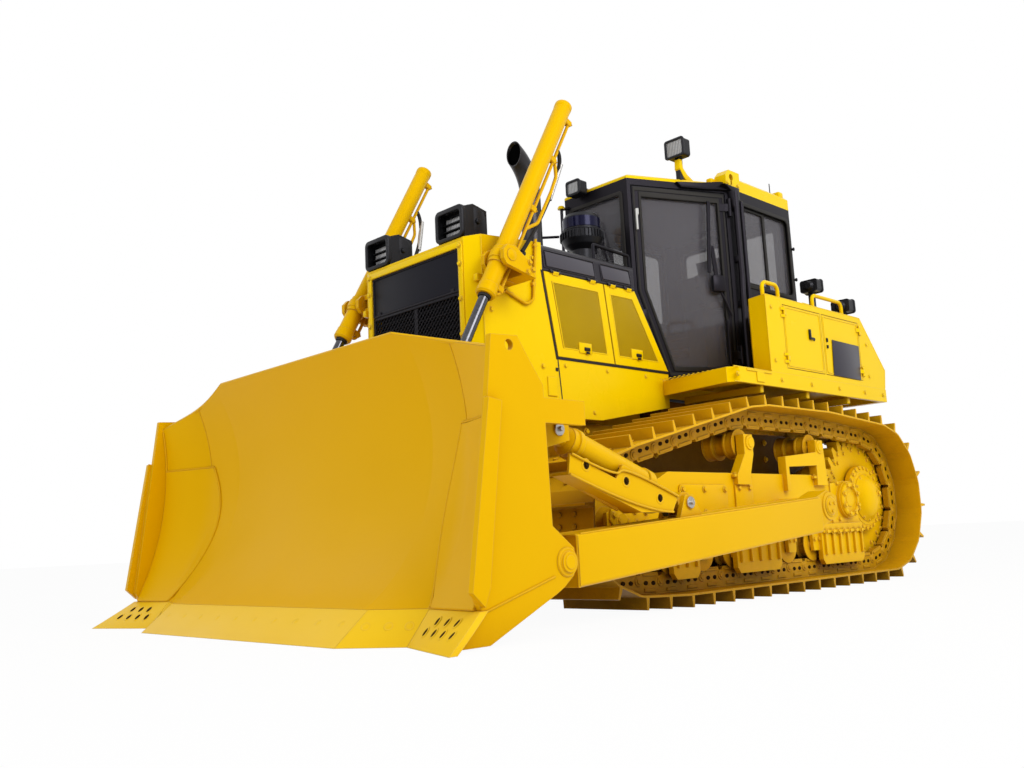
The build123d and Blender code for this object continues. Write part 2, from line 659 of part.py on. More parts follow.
with BuildPart() as cab_frame:
    with BuildSketch(Plane.XY.offset(cab_floor_z)):
        with BuildLine():
            Polyline(*cab_plan, close=True)
        make_face()
    extrude(amount=cab_top_z - cab_floor_z)
    with BuildSketch(Plane.XY.offset(cab_floor_z + cab_wall)):
        with BuildLine():
            Polyline(*cab_plan, close=True)
        make_face()
        offset(amount=-cab_wall, mode=Mode.REPLACE)
    extrude(amount=cab_top_z - cab_floor_z, mode=Mode.SUBTRACT)
    # doorways
    with BuildSketch(door_plane.offset(-20)):
        with BuildLine():
            Polyline(*door_outline, close=True)
        make_face()
    extrude(amount=cab_wall + 60, mode=Mode.SUBTRACT)
    for z in cab_hinge_zs:
        for top in (z + cab_knuckle / 2 + knuckle_gap + 40, z - cab_knuckle / 2 - knuckle_gap):
            cab_hinge(top, 40, [(-6, -17), (22, -17), (24, 1), (-10, 1)])
    with BuildSketch(across(cab_side_half + 1)):
        with Locations(((cab_side_x + cab_rear_x) / 2 + 5, (window_low + window_high) / 2)):
            RectangleRounded(740, window_high - window_low, 50)
    extrude(amount=cab_wall + 2, mode=Mode.SUBTRACT)
    split(bisect_by=Plane.XZ, keep=Keep.BOTTOM)
    mirror(about=Plane.XZ)
    with BuildSketch(Plane(origin=(cab_front_x + 1, 0, 0), x_dir=(0, 1, 0), z_dir=(1, 0, 0))):
        with Locations((0, (hood_top_z + 30 + window_high) / 2)):
            Rectangle(2 * cab_front_half - 110, window_high - hood_top_z - 30)
    extrude(amount=-cab_wall - 2, mode=Mode.SUBTRACT)
    with BuildSketch(Plane(origin=(cab_rear_x - 1, 0, 0), x_dir=(0, 1, 0), z_dir=(1, 0, 0))):
        with Locations((0, (window_low + window_high) / 2)):
            RectangleRounded(960, window_high - window_low, 50)
    extrude(amount=cab_wall + 2, mode=Mode.SUBTRACT)
cab_frame.part.label = "cab_frame"
export_step(cab_frame.part, "parts/cab_frame.step")

# ---- cab roof ------------------------------------------------------------------------------------------
bracket_low, bracket_high = cab_top_z, cab_top_z + 130
with BuildPart() as cab_roof:
    with BuildSketch(Plane.XY.offset(cab_top_z)):
        with BuildLine():
            Polyline(*cab_plan, close=True)
        make_face()
    extrude(amount=roof_thickness)
    chamfer(cab_roof.faces().sort_by(Axis.Z)[-1].edges(), 12)
    with BuildSketch(Plane.XY.offset(cab_top_z)):
        with BuildLine():
            Polyline((roof_step_x, cab_side_half), (cab_rear_x + 90, cab_side_half), (cab_rear_x, cab_side_half - 120),
                     (cab_rear_x, 120 - cab_side_half), (cab_rear_x + 90, -cab_side_half),
                     (roof_step_x, -cab_side_half), close=True)
        make_face()
    extrude(amount=roof_thickness + roof_rise)
    chamfer(cab_roof.faces().sort_by(Axis.Z)[-1].edges(), 25)
    # roll-bar brackets with a lifting hole each
    for outer in (cab_side_half + 30, 70 - cab_side_half):
        side_slab([(roof_step_x + 150, bracket_low), (roof_step_x + 150, bracket_high - 45),
                   (roof_step_x + 105, bracket_high), (roof_step_x - 40, bracket_high), (roof_step_x - 40, bracket_low)],
                  outer, 100)
        with BuildSketch(across(outer + 1)):
            with Locations((roof_step_x + 75, bracket_low + 75)):
                Circle(26)
            with Locations((roof_step_x + 75, bracket_low + 40)):
                Rectangle(22, 50)
        extrude(amount=102, mode=Mode.SUBTRACT)
cab_roof.part.label = "cab_roof"
export_step(cab_roof.part, "parts/cab_roof.step")

# ---- fixed glass ------------------------------------------------------------------------------------------
with BuildPart() as cab_glass:
    with BuildSketch(Plane(origin=(cab_front_x - cab_wall / 2, 0, 0), x_dir=(0, 1, 0), z_dir=(1, 0, 0))):
        with Locations((0, (hood_top_z + 30 + window_high) / 2)):
            Rectangle(2 * cab_front_half - 110, window_high - hood_top_z - 30)
    extrude(amount=glass_thickness)
    with BuildSketch(Plane(origin=(cab_rear_x + cab_wall / 2, 0, 0), x_dir=(0, 1, 0), z_dir=(1, 0, 0))):
        with Locations((0, (window_low + window_high) / 2)):
            RectangleRounded(960, window_high - window_low, 50)
    extrude(amount=glass_thickness)
    for y in (cab_side_half - cab_wall / 2, cab_wall / 2 - cab_side_half):
        with BuildSketch(across(y)):
            with Locations(((cab_side_x + cab_rear_x) / 2 + 5, (window_low + window_high) / 2)):
                RectangleRounded(740, window_high - window_low, 50)
        extrude(amount=glass_thickness / 2, both=True)
cab_glass.part.label = "cab_glass"
export_step(cab_glass.part, "parts/cab_glass.step")

# ---- cab doors: a frame with a full glass ---------------------------------------------------------------------
with BuildPart() as cab_door_left:
    with BuildSketch(door_plane):
        with BuildLine():
            Polyline(*door_outline, close=True)
        make_face()
        offset(amount=-door_gap, mode=Mode.REPLACE)
    extrude(amount=door_thickness)
    with BuildSketch(door_plane.offset(-1)):
        with BuildLine():
            Polyline(*door_outline, close=True)
        make_face()
        offset(amount=-door_gap - 62, mode=Mode.REPLACE)
    extrude(amount=door_thickness + 2, mode=Mode.SUBTRACT)
    for z in cab_hinge_zs:
        cab_hinge(z + cab_knuckle / 2, cab_knuckle,
                  [(8, -3), (42, -3), (42, 2), (96, 2), (96, -8), (42, -11), (8, -24)])
cab_door_left.part.label = "cab_door_left"
export_step(cab_door_left.part, "parts/cab_door_left.step")

with BuildPart() as cab_door_glass_left:
    with BuildSketch(door_plane.offset(door_thickness / 2)):
        with BuildLine():
            Polyline(*door_outline, close=True)
        make_face()
        offset(amount=-door_gap - 62, mode=Mode.REPLACE)
    extrude(amount=glass_thickness)
cab_door_glass_left.part.label = "cab_door_glass_left"
export_step(cab_door_glass_left.part, "parts/cab_door_glass_left.step")

with BuildPart() as cab_door_right:
    mirror(cab_door_left.part, about=Plane.XZ)
cab_door_right.part.label = "cab_door_right"
export_step(cab_door_right.part, "parts/cab_door_right.step")

with BuildPart() as cab_door_glass_right:
    mirror(cab_door_glass_left.part, about=Plane.XZ)
cab_door_glass_right.part.label = "cab_door_glass_right"
export_step(cab_door_glass_right.part, "parts/cab_door_glass_right.step")

# ---- seat and consoles ------------------------------------------------------------------------------------------
floor = cab_floor_z + cab_wall
with BuildPart() as seat:
    side_slab([(seat_x - 210, floor), (seat_x + 220, floor), (seat_x + 220, cushion_z), (seat_x - 210, cushion_z)],
              seat_half_width - 80, 2 * (seat_half_width - 80))
    side_slab([(seat_x - 270, cushion_z), (seat_x + 290, cushion_z), (seat_x + 290, cushion_z + 130),
               (seat_x - 170, cushion_z + 130), (seat_x - 290, seat_top_z), (seat_x - 410, seat_top_z)],
              seat_half_width, 2 * seat_half_width)
seat.part.label = "seat"
export_step(seat.part, "parts/seat.step")

with BuildPart() as controls:
    for y in (seat_half_width + 200, -seat_half_width - 40):
        side_slab([(seat_x - 130, floor), (seat_x + 520, floor), (seat_x + 540, console_z - 60),
                   (seat_x - 130, console_z)], y, 160)
    side_slab([(cab_front_x - 346, floor), (cab_front_x - 116, floor), (cab_front_x - 116, console_z + 140),
               (cab_front_x - 216, console_z + 180)], cab_front_half - 110, 2 * (cab_front_half - 110))
controls.part.label = "controls"
export_step(controls.part, "parts/controls.step")

# ---- fenders -----------------------------------------------------------------------------------------------------
with BuildPart() as fenders:
    with BuildSketch(Plane.XY.offset(fender_top - fender_depth)):
        with BuildLine():
            Polyline((fender_front_x - 110, hood_half_width), (fender_front_x, fender_outer - 60),
                     (fender_front_x - 60, fender_outer), (fender_rear_x, fender_outer),
                     (fender_rear_x, hull_half_width), (door_foot_x - 10, hull_half_width),
                     (door_foot_x - 10, hood_half_width), close=True)
        make_face()
    extrude(amount=fender_depth)
    with BuildSketch(Plane.XY.offset(fender_top - fender_depth)):
        with Locations(((fender_front_x + fender_rear_x) / 2 - 40, (hull_half_width + fender_outer) / 2 - 10)):
            Rectangle(fender_front_x - fender_rear_x - 200, fender_outer - hull_half_width - 40)
    extrude(amount=fender_depth - 12, mode=Mode.SUBTRACT)
    mirror(about=Plane.XZ)
fenders.part.label = "fenders"
export_step(fenders.part, "parts/fenders.step")

# ---- battery box on the left fender -------------------------------------------------------------------------------
box_side = [(box_front_x, fender_top), (box_front_x, box_top), (-1928, box_top), (-2283, 1600), (-2250, fender_top)]
box_plan = [(box_front_x, fender_outer), (box_front_x - 40, 1050), (-1180, box_inner), (-2320, box_inner),
            (-2320, fender_outer)]
door_panels = ((box_front_x - 210, box_front_x - 730), (box_front_x - 750, box_front_x - 1310))
box_hinge_zs = (fender_top + 110, box_top - 105)
box_axis_y = fender_outer + 10
box_barrel_radius = 7
box_door_low = fender_top + 40
box_door_high = box_top - 45


def box_body(outer):
    """The box over a fender: its side outline inside its plan."""
    side_slab(box_side, outer, outer - box_inner + 1)
    with BuildSketch(Plane.XY.offset(fender_top)) as plan:
        with BuildLine():
            Polyline(*box_plan, close=True)
        make_face()
    extrude(plan.sketch, amount=box_top - fender_top, mode=Mode.INTERSECT)


def box_hinge(x, z, height, side, leaf):
    """A knuckle and its leaf, to one side of an upright axis at x."""
    with BuildSketch(Plane.XY.offset(z)) as section:
        with BuildLine():
            Polyline(*[(x + side * along, box_axis_y + out) for along, out in leaf], close=True)
        make_face()
        with Locations((x, box_axis_y)):
            Circle(box_barrel_radius)
    extrude(section.sketch, amount=height)


box_fixed_leaf = [(3, -11), (34, -11), (34, -5), (0, 7), (-5, 0)]
box_door_leaf = [(-4, -11), (-40, -11), (-40, -5), (0, 7), (5, 0)]
box_axes = ((door_panels[0][0] - 2.5, 1), (door_panels[1][1] + 2.5, -1))
with BuildPart() as battery_box:
    box_body(fender_outer)
    for front, rear in door_panels:
        with BuildSketch(across(fender_outer + 1)):
            with BuildLine():
                Polyline((front, box_door_low), (front, box_door_high), (rear, box_door_high), (rear, box_door_low),
                         close=True)
            make_face()
        extrude(amount=200, mode=Mode.SUBTRACT)
    for x, side in box_axes:
        for z in box_hinge_zs:
            for low in (z - 15 - knuckle_gap - 20, z + 15 + knuckle_gap):
                box_hinge(x, low, 20, side, box_fixed_leaf)
battery_box.part.label = "battery_box"
export_step(battery_box.part, "parts/battery_box.step")

for name, (front, rear), (x, side) in zip(("box_door_front", "box_door_rear"), door_panels, box_axes):
    with BuildPart() as box_door:
        side_slab([(front - 5, box_door_low + 5), (front - 5, box_door_high - 5), (rear + 5, box_door_high - 5),
                   (rear + 5, box_door_low + 5)], fender_outer, box_wall)
        for z in box_hinge_zs:
            box_hinge(x, z - 15, 30, side, box_door_leaf)
    box_door.part.label = name
    export_step(box_door.part, f"parts/{name}.step")

with BuildPart() as hydraulic_tank_left:
    box_body(fender_outer)
with BuildPart() as hydraulic_tank:
    mirror(hydraulic_tank_left.part, about=Plane.XZ)
hydraulic_tank.part.label = "hydraulic_tank"
export_step(hydraulic_tank.part, "parts/hydraulic_tank.step")

# ---- rear fuel tank -----------------------------------------------------------------------------------------------------
with BuildPart() as fuel_tank:
    side_slab([(cab_rear_x - 20, fender_top), (cab_rear_x - 20, tank_top), (tank_rear_x + 130, tank_top),
               (tank_rear_x, tank_top - 180), (tank_rear_x, fender_top + 60), (tank_rear_x + 80, fender_top)],
              box_inner - 20, 2 * (box_inner - 20))
    side_slab([(cab_rear_x - 20, case_top), (cab_rear_x - 20, fender_top), (hull_rear_x, fender_top),
               (hull_rear_x, case_top)], hull_half_width, 2 * hull_half_width)
fuel_tank.part.label = "fuel_tank"
export_step(fuel_tank.part, "parts/fuel_tank.step")

# ---- exhaust and pre-cleaner ------------------------------------------------------------------------------------------------
exhaust_x = 560
exhaust_y = 150
exhaust_radius = 70
exhaust_bend_z = 2907       # where the two straight lines of the pipe meet
exhaust_bend_radius = 328
exhaust_lean = radians(55)
mouth_x = 700               # the pipe's end is cut upright here
with BuildPart() as exhaust:
    with BuildLine() as pipe_line:
        Polyline((exhaust_x, exhaust_y, hood_top_z), (exhaust_x, exhaust_y, exhaust_bend_z),
                 (exhaust_x + 300 * sin(exhaust_lean), exhaust_y, exhaust_bend_z + 300 * cos(exhaust_lean)))
        fillet(pipe_line.vertices().sort_by(Axis.Z)[1], exhaust_bend_radius)
    with BuildSketch(Plane.XY.offset(hood_top_z).move(Location((exhaust_x, exhaust_y, 0)))):
        Circle(exhaust_radius)
        Circle(exhaust_radius - 6, mode=Mode.SUBTRACT)
    sweep(path=pipe_line.wires()[0])
    split(bisect_by=Plane(origin=(mouth_x, 0, 0), z_dir=(1, 0, 0)), keep=Keep.BOTTOM)
exhaust.part.label = "exhaust"
export_step(exhaust.part, "parts/exhaust.step")

cleaner_x = 0
cleaner_y = 110
with BuildPart() as precleaner:
    with BuildSketch(Plane(origin=(cleaner_x, cleaner_y, hood_top_z), x_dir=(1, 0, 0), z_dir=(0, -1, 0))):
        with BuildLine():
            Polyline((0, 0), (82, 0), (82, 215), (128, 250), (150, 290), (150, 345), (134, 358), (134, 452),
                     (118, 476), (0, 476), close=True)
        make_face()
    revolve(axis=Axis((cleaner_x, cleaner_y, 0), (0, 0, 1)))
precleaner.part.label = "precleaner"
export_step(precleaner.part, "parts/precleaner.step")

# ---- lift cylinders ------------------------------------------------------------------------------------------------------------
rod_axis = Vector(eye_x - yoke_x, 0, eye_z - yoke_z).normalized()
yoke_point = Vector(yoke_x, lift_y, yoke_z)
eye_point = Vector(eye_x, lift_y, eye_z)
barrel_wall = 10
with BuildPart() as lift_barrel_left:
    with BuildSketch(Plane(origin=yoke_point - rod_axis * barrel_up, z_dir=rod_axis)):
        Circle(barrel_radius)
    extrude(amount=barrel_up + barrel_down)
    with BuildSketch(Plane(origin=yoke_point - rod_axis * (barrel_up - 40), z_dir=rod_axis)):
        Circle(barrel_radius - barrel_wall)
    extrude(amount=barrel_up + barrel_down - 80, mode=Mode.SUBTRACT)
    with BuildSketch(Plane(origin=yoke_point, z_dir=rod_axis)):
        Circle(rod_radius + 1)
    extrude(amount=barrel_down + 1, mode=Mode.SUBTRACT)
    # collar round the barrel at its pins, and the gland's ring at its foot
    for middle, height, radius in ((0, 110, barrel_radius + 8), (barrel_down - 30, 60, barrel_radius + 4)):
        with BuildSketch(Plane(origin=yoke_point + rod_axis * (middle - height / 2), z_dir=rod_axis)):
            Circle(radius)
            Circle(barrel_radius - 4, mode=Mode.SUBTRACT)
        extrude(amount=height)
    round_bar((yoke_x, inner_cheek_y - cheek_thickness, yoke_z), (yoke_x, lift_y - barrel_radius + 6, yoke_z),
              yoke_pin_radius)
    round_bar((yoke_x, lift_y + barrel_radius - 6, yoke_z), (yoke_x, outer_cheek_y, yoke_z), yoke_pin_radius)
lift_barrel_left.part.label = "lift_barrel_left"
export_step(lift_barrel_left.part, "parts/lift_barrel_left.step")

with BuildPart() as lift_barrel_right:
    mirror(lift_barrel_left.part, about=Plane.XZ)
lift_barrel_right.part.label = "lift_barrel_right"
export_step(lift_barrel_right.part, "parts/lift_barrel_right.step")

eye_radius = 60
eye_bore = 31
eye_width = 60
with BuildPart() as lift_rod_left:
    with BuildSketch(Plane(origin=eye_point - rod_axis * rod_length, z_dir=rod_axis)):
        Circle(rod_radius)
    extrude(amount=rod_length - eye_radius + 20)
    with BuildSketch(Plane(origin=eye_point - rod_axis * rod_length, z_dir=rod_axis)):
        Circle(barrel_radius - barrel_wall - 0.5)
    extrude(amount=60)
    with BuildSketch(across(lift_y + eye_width / 2)):
        with Locations((eye_x, eye_z)):
            Circle(eye_radius)
    extrude(amount=eye_width)
    with BuildSketch(across(lift_y + eye_width / 2)):
        with Locations((eye_x, eye_z)):
            Circle(eye_bore)
    extrude(amount=eye_width, mode=Mode.SUBTRACT)
lift_rod_left.part.label = "lift_rod_left"
export_step(lift_rod_left.part, "parts/lift_rod_left.step")

with BuildPart() as lift_rod_right:
    mirror(lift_rod_left.part, about=Plane.XZ)
lift_rod_right.part.label = "lift_rod_right"
export_step(lift_rod_right.part, "parts/lift_rod_right.step")

# ---- cutting edge, side edges and end bits -------------------------------------------------------------
edge_lean = atan2(edge_top_z, blade_tip_x - stations[0][1])
flat = edge_thickness / sin(edge_lean)     # thickness measured along the ground
# y, x on the ground, x at the edge's top
edge_stations = ((961, blade_tip_x, 2571), (1250, 2585, 2456), (blade_half, 2741, 2516))


def edge_section(y, ground_x, top_x):
    """The wear plate cut across the machine at y."""
    with BuildSketch(across(y)) as section:
        with BuildLine():
            Polyline((ground_x, 0), (top_x, edge_top_z), (top_x - flat, edge_top_z), (ground_x - flat, 0), close=True)
        make_face()
    return section.sketch


edge_split = 2
with BuildPart() as cutting_edges:
    extrude(edge_section(*edge_stations[0]), amount=2 * edge_stations[0][0])
    for side in (1, -1):
        for inner, outer in zip(edge_stations, edge_stations[1:]):
            step = (outer[0] - inner[0])
            starts = (inner[0] + edge_split) * side
            loft([edge_section(starts, inner[1], inner[2]), edge_section(outer[0] * side, outer[1], outer[2])],
                 ruled=True)
    # the outer ends of the end bits slope in towards the end plates
    with BuildSketch(Plane(origin=(blade_tip_x, 0, 0), x_dir=(0, 1, 0), z_dir=(1, 0, 0))):
        for side in (1, -1):
            with BuildLine():
                Polyline((side * blade_half, 0), (side * (blade_half - 75), edge_top_z + 1),
                         (side * (blade_half + 1), edge_top_z + 1), (side * (blade_half + 1), 0), close=True)
            make_face()
    extrude(amount=-800, mode=Mode.SUBTRACT)
cutting_edges.part.label = "cutting_edges"
export_step(cutting_edges.part, "parts/cutting_edges.step")

# ---- blade ---------------------------------------------------------------------------------------------


def face_x(station, z):
    """The blade's face at a height, on the arc through the station's three points."""
    y, x_edge, x_mid, x_top = station
    ax, az, bx, bz, cx, cz = x_edge, edge_top_z, x_mid, mid_z, x_top, blade_top_z
    d = 2 * (ax * (bz - cz) + bx * (cz - az) + cx * (az - bz))
    a2, b2, c2 = ax * ax + az * az, bx * bx + bz * bz, cx * cx + cz * cz
    ox = (a2 * (bz - cz) + b2 * (cz - az) + c2 * (az - bz)) / d
    oz = (a2 * (cx - bx) + b2 * (ax - cx) + c2 * (bx - ax)) / d
    return ox - sqrt((ax - ox) ** 2 + (az - oz) ** 2 - (z - oz) ** 2)


def shell_section(station):
    """The moldboard plate cut at one station."""
    y, x_edge, x_mid, x_top = station
    with BuildSketch(across(y)) as section:
        with BuildLine():
            ThreePointArc((x_edge, edge_top_z), (x_mid, mid_z), (x_top, blade_top_z))
            Line((x_top, blade_top_z), (x_top - plate, blade_top_z))
            ThreePointArc((x_top - plate, blade_top_z), (x_mid - plate, mid_z), (x_edge - plate, edge_top_z))
            Line((x_edge - plate, edge_top_z), (x_edge, edge_top_z))
        make_face()
    return section.sketch


def beam_section(station, low, high, depth_low, depth_high):
    """A box beam on the back of the moldboard, cut at one station."""
    middle = (low + high) / 2
    front = [(face_x(station, z) - plate / 2, z) for z in (low, middle, high)]
    with BuildSketch(across(station[0])) as section:
        with BuildLine():
            ThreePointArc(*front)
            Polyline(front[2], (front[2][0] - depth_high, high), (front[0][0] - depth_low, low), front[0])
        make_face()
    return section.sketch


beams = ((150, 560, 250, 190), (1130, 1400, 130, 110))      # low, high, depth at each
top_fold_y = 855            # the top edge falls away outside this
top_fold_z = 1241           # height of the top edge at the end plates
end_x = stations[2][0]
lift_hole_x = 2269          # lifting hole in each end plate
lift_hole_z = 1255
lift_hole_radius = 24
end_plate = [(2375, 1292), (2217, 1301), (2162, 1220), (2069, 1093), (2054, 473), (1989, 424), (1925, 375),
             (1915, 318), (1935, 255), (1999, 208), (2043, 185), (2450, 8), (2650, 8), (2490, 147), (2515, 200)]


def ears(outline, y_middle, gap, thickness, pin, radius):
    """A pair of ears either side of y_middle with a pin hole through both, on both hands."""
    for side in (1, -1):
        for y in (side * y_middle + gap + thickness, side * y_middle - gap):
            side_slab(outline, y, thickness)
        with BuildSketch(across(side * y_middle + gap + thickness + 1)) as hole:
            with Locations(pin):
                Circle(radius)
        extrude(hole.sketch, amount=2 * (gap + thickness + 1), mode=Mode.SUBTRACT)


with BuildPart() as blade:
    extrude(shell_section(stations[0]), amount=2 * stations[0][0])
    for beam in beams:
        extrude(beam_section(stations[0], *beam), amount=2 * stations[0][0])
    for y in (880, 560, 240, -210, -530, -850):
        middle = (face_x(stations[0], 845) - plate / 2, 845)
        with BuildSketch(across(y)):
            with BuildLine():
                low_front = (face_x(stations[0], 560) - plate / 2, 560)
                high_front = (face_x(stations[0], 1130) - plate / 2, 1130)
                ThreePointArc(low_front, middle, high_front)
                Polyline(high_front, (high_front[0] - 125, 1130), (low_front[0] - 185, 560), low_front)
            make_face()
        extrude(amount=30)
    for inner, outer in ((stations[0], stations[1]), (stations[1], stations[2])):
        loft([shell_section(inner), shell_section(outer)], ruled=True)
        for beam in beams:
            loft([beam_section(inner, *beam), beam_section(outer, *beam)], ruled=True)
    # end plate
    side_slab(end_plate, end_x + plate, plate)
    # wear bar down the end plate's front
    side_slab([(2430, 1013), (2353, 1001), (2462, 235), (2494, 162), (2559, 221)], end_x + 2 * plate, plate)
    with BuildSketch(across(end_x + plate + 1)):
        with Locations((lift_hole_x, lift_hole_z)):
            Circle(lift_hole_radius)
    extrude(amount=plate + 2, mode=Mode.SUBTRACT)
    split(bisect_by=Plane.XZ, keep=Keep.BOTTOM)
    mirror(about=Plane.XZ)
    # the top edge falls from the centre section to the end plates
    with BuildSketch(Plane(origin=(blade_tip_x, 0, 0), x_dir=(0, 1, 0), z_dir=(1, 0, 0))):
        for side in (1, -1):
            with BuildLine():
                Polyline((side * top_fold_y, blade_top_z + 1), (side * top_fold_y, blade_top_z),
                         (side * end_x, top_fold_z), (side * end_x, blade_top_z + 1),
                         close=True)
            make_face()
    extrude(amount=-800, mode=Mode.SUBTRACT)
    # guard over the tilt cylinder's upper pin, on the left
    side_slab([(2075, 1037), (2075, 925), (1800, 925), (1800, 1037)], end_x + plate, plate)
    side_slab([(2190, 1037), (2190, 1017), (1800, 1017), (1800, 1037)], end_x, 300)
    # ears for the lift rods, the tilt links and the push arms
    back = [(face_x(stations[0], z) - plate / 2, z) for z in (1130, 845, 560)]
    ears([(eye_x - 70, eye_z - 40), (eye_x - 70, eye_z + 50), (eye_x - 20, eye_z + 85), *back],
         lift_y, eye_width / 2 + 8, 40, (eye_x, eye_z), yoke_pin_radius)
    tilt_x, tilt_z = tilt_top
    ears([(tilt_x - 75, tilt_z - 50), (tilt_x - 75, tilt_z + 45), (tilt_x - 20, tilt_z + 80), (2210, 1080), (2210, 760)],
         tilt_y, tilt_eye_width / 2 + 0.3, 30, tilt_top, tilt_pin_radius + 0.3)
    ears([(arm_pin_x - 90, arm_pin_z - 60), (arm_pin_x - 90, arm_pin_z + 60), (arm_pin_x - 40, arm_pin_z + 120),
          (2240, 520), (2330, 240), (arm_pin_x - 40, arm_pin_z - 110)],
         arm_y, tongue_width / 2 + 5, 40, (arm_pin_x, arm_pin_z), arm_pin_radius + 0.3)
    for outer in (end_x + plate + 1, 1 - end_x):
        with BuildSketch(across(outer)):
            with Locations((arm_pin_x, arm_pin_z)):
                Circle(arm_pin_radius + 0.3)
        extrude(amount=plate + 2, mode=Mode.SUBTRACT)
    add(cutting_edges.part, mode=Mode.SUBTRACT)
blade.part.label = "blade"
export_step(blade.part, "parts/blade.step")

# ---- push arms --------------------------------------------------------------------------------------------
slope = (arm_front_z + arm_front_height / 2 - arm_rear_z - arm_rear_height / 2) / (arm_front_x - arm_rear_x)
with BuildPart() as push_arms:
    side_slab([(arm_rear_x, arm_rear_z - arm_rear_height / 2), (arm_rear_x, arm_rear_z + arm_rear_height / 2),
               (arm_front_x, arm_front_z + arm_front_height / 2), (arm_front_x, arm_front_z - arm_front_height / 2)],
              arm_inner + arm_width, arm_width)
    fillet(push_arms.edges().filter_by(GeomType.LINE).filter_by(
        lambda edge: abs(edge.tangent_at(0).X) > 0.9), 18)
    side_slab([(arm_rear_x + 20, arm_rear_z - 92), (arm_rear_x + 20, arm_rear_z + 103), (trunnion_x + 20, trunnion_z + boss_radius),
               (trunnion_x - 100, trunnion_z + 60), (trunnion_x - 100, trunnion_z - 60),
               (trunnion_x + 20, trunnion_z - boss_radius)], arm_y + boss_width / 2, boss_width)
    with BuildSketch(across(arm_y + boss_width / 2 + 1)):
        with Locations((trunnion_x, trunnion_z)):
            Circle(trunnion_radius + 0.3)
    extrude(amount=boss_width + 2, mode=Mode.SUBTRACT)
    side_slab([(arm_front_x, arm_front_z - 80), (arm_front_x, arm_front_z + 80), (arm_pin_x, arm_pin_z + 75),
               (arm_pin_x + 60, arm_pin_z + 45), (arm_pin_x + 60, arm_pin_z - 45), (arm_pin_x, arm_pin_z - 75)],
              arm_y + tongue_width / 2, tongue_width)
    # pin through the blade's ears and end plate
    round_bar((arm_pin_x, arm_y - tongue_width / 2 - 45, arm_pin_z), (arm_pin_x, end_x + plate + 20, arm_pin_z),
              arm_pin_radius)
    mirror(about=Plane.XZ)
push_arms.part.label = "push_arms"
export_step(push_arms.part, "parts/push_arms.step")

# ---- tilt cylinder on the left arm, brace on the right ------------------------------------------------
tilt_run = hypot(tilt_top[0] - tilt_foot[0], tilt_top[1] - tilt_foot[1])
tilt_cos = (tilt_top[0] - tilt_foot[0]) / tilt_run
tilt_sin = (tilt_top[1] - tilt_foot[1]) / tilt_run


def tilt_point(along, y=tilt_y):
    """A point on the tilt cylinder's axis, measured from its foot."""
    return (tilt_foot[0] + along * tilt_cos, y, tilt_foot[1] + along * tilt_sin)


def arm_top_z(x):
    """Height of the push arm's upper face."""
    return arm_rear_z + slope * (x - arm_rear_x) + arm_rear_height / 2


guard_y = tilt_y + 97       # outer face of the cylinder's guard
with BuildPart() as tilt_links:
    for side in (1, -1):
        round_bar(tilt_point(60, side * tilt_y), tilt_point(tilt_run - 40, side * tilt_y), 42)
        round_bar(tilt_point(350, side * tilt_y), tilt_point(tilt_run - 130, side * tilt_y), 72)
        for end in (tilt_foot, tilt_top):
            with BuildSketch(across(side * tilt_y + tilt_eye_width / 2)):
                with Locations(end):
                    Circle(60)
            extrude(amount=tilt_eye_width)
            half_pin = tilt_eye_width / 2 + 40
            round_bar((end[0], side * tilt_y - half_pin, end[1]), (end[0], side * tilt_y + half_pin, end[1]),
                      tilt_pin_radius)
        for y in (side * tilt_y + tilt_eye_width / 2 + 30, side * tilt_y - tilt_eye_width / 2):
            side_slab([(tilt_foot[0] - 105, arm_top_z(tilt_foot[0] - 105)), (tilt_foot[0] - 35, tilt_foot[1] + 42),
                       (tilt_foot[0] + 35, tilt_foot[1] + 42), (tilt_foot[0] + 90, arm_top_z(tilt_foot[0] + 90))],
                      y, 30)
    # guard beside and under the left cylinder, carried on its barrel
    side_slab([(1766, 811), (1440, 695), (1380, 765), (943, 608), (998, 523), (1253, 527), (1782, 710)], guard_y, 14)
    side_slab([(1782, 710), (1253, 527), (1240, 540), (1778, 726)], guard_y, 110)
    side_slab([(1380, 765), (943, 608), (947, 594), (1385, 751)], guard_y, 30)
    side_slab([(1600, 860), (1330, 760), (1330, 540), (1600, 645)], tilt_y + 6, 12)
tilt_links.part.label = "tilt_links"
export_step(tilt_links.part, "parts/tilt_links.step")

# ---- lamps on the hood, the cab roof and the fender boxes -------------------------------------------------
roof_z = cab_top_z + roof_thickness
guard_slope = (hood_top_z - guard_top_z) / (guard_front_x - guard_rear_x)
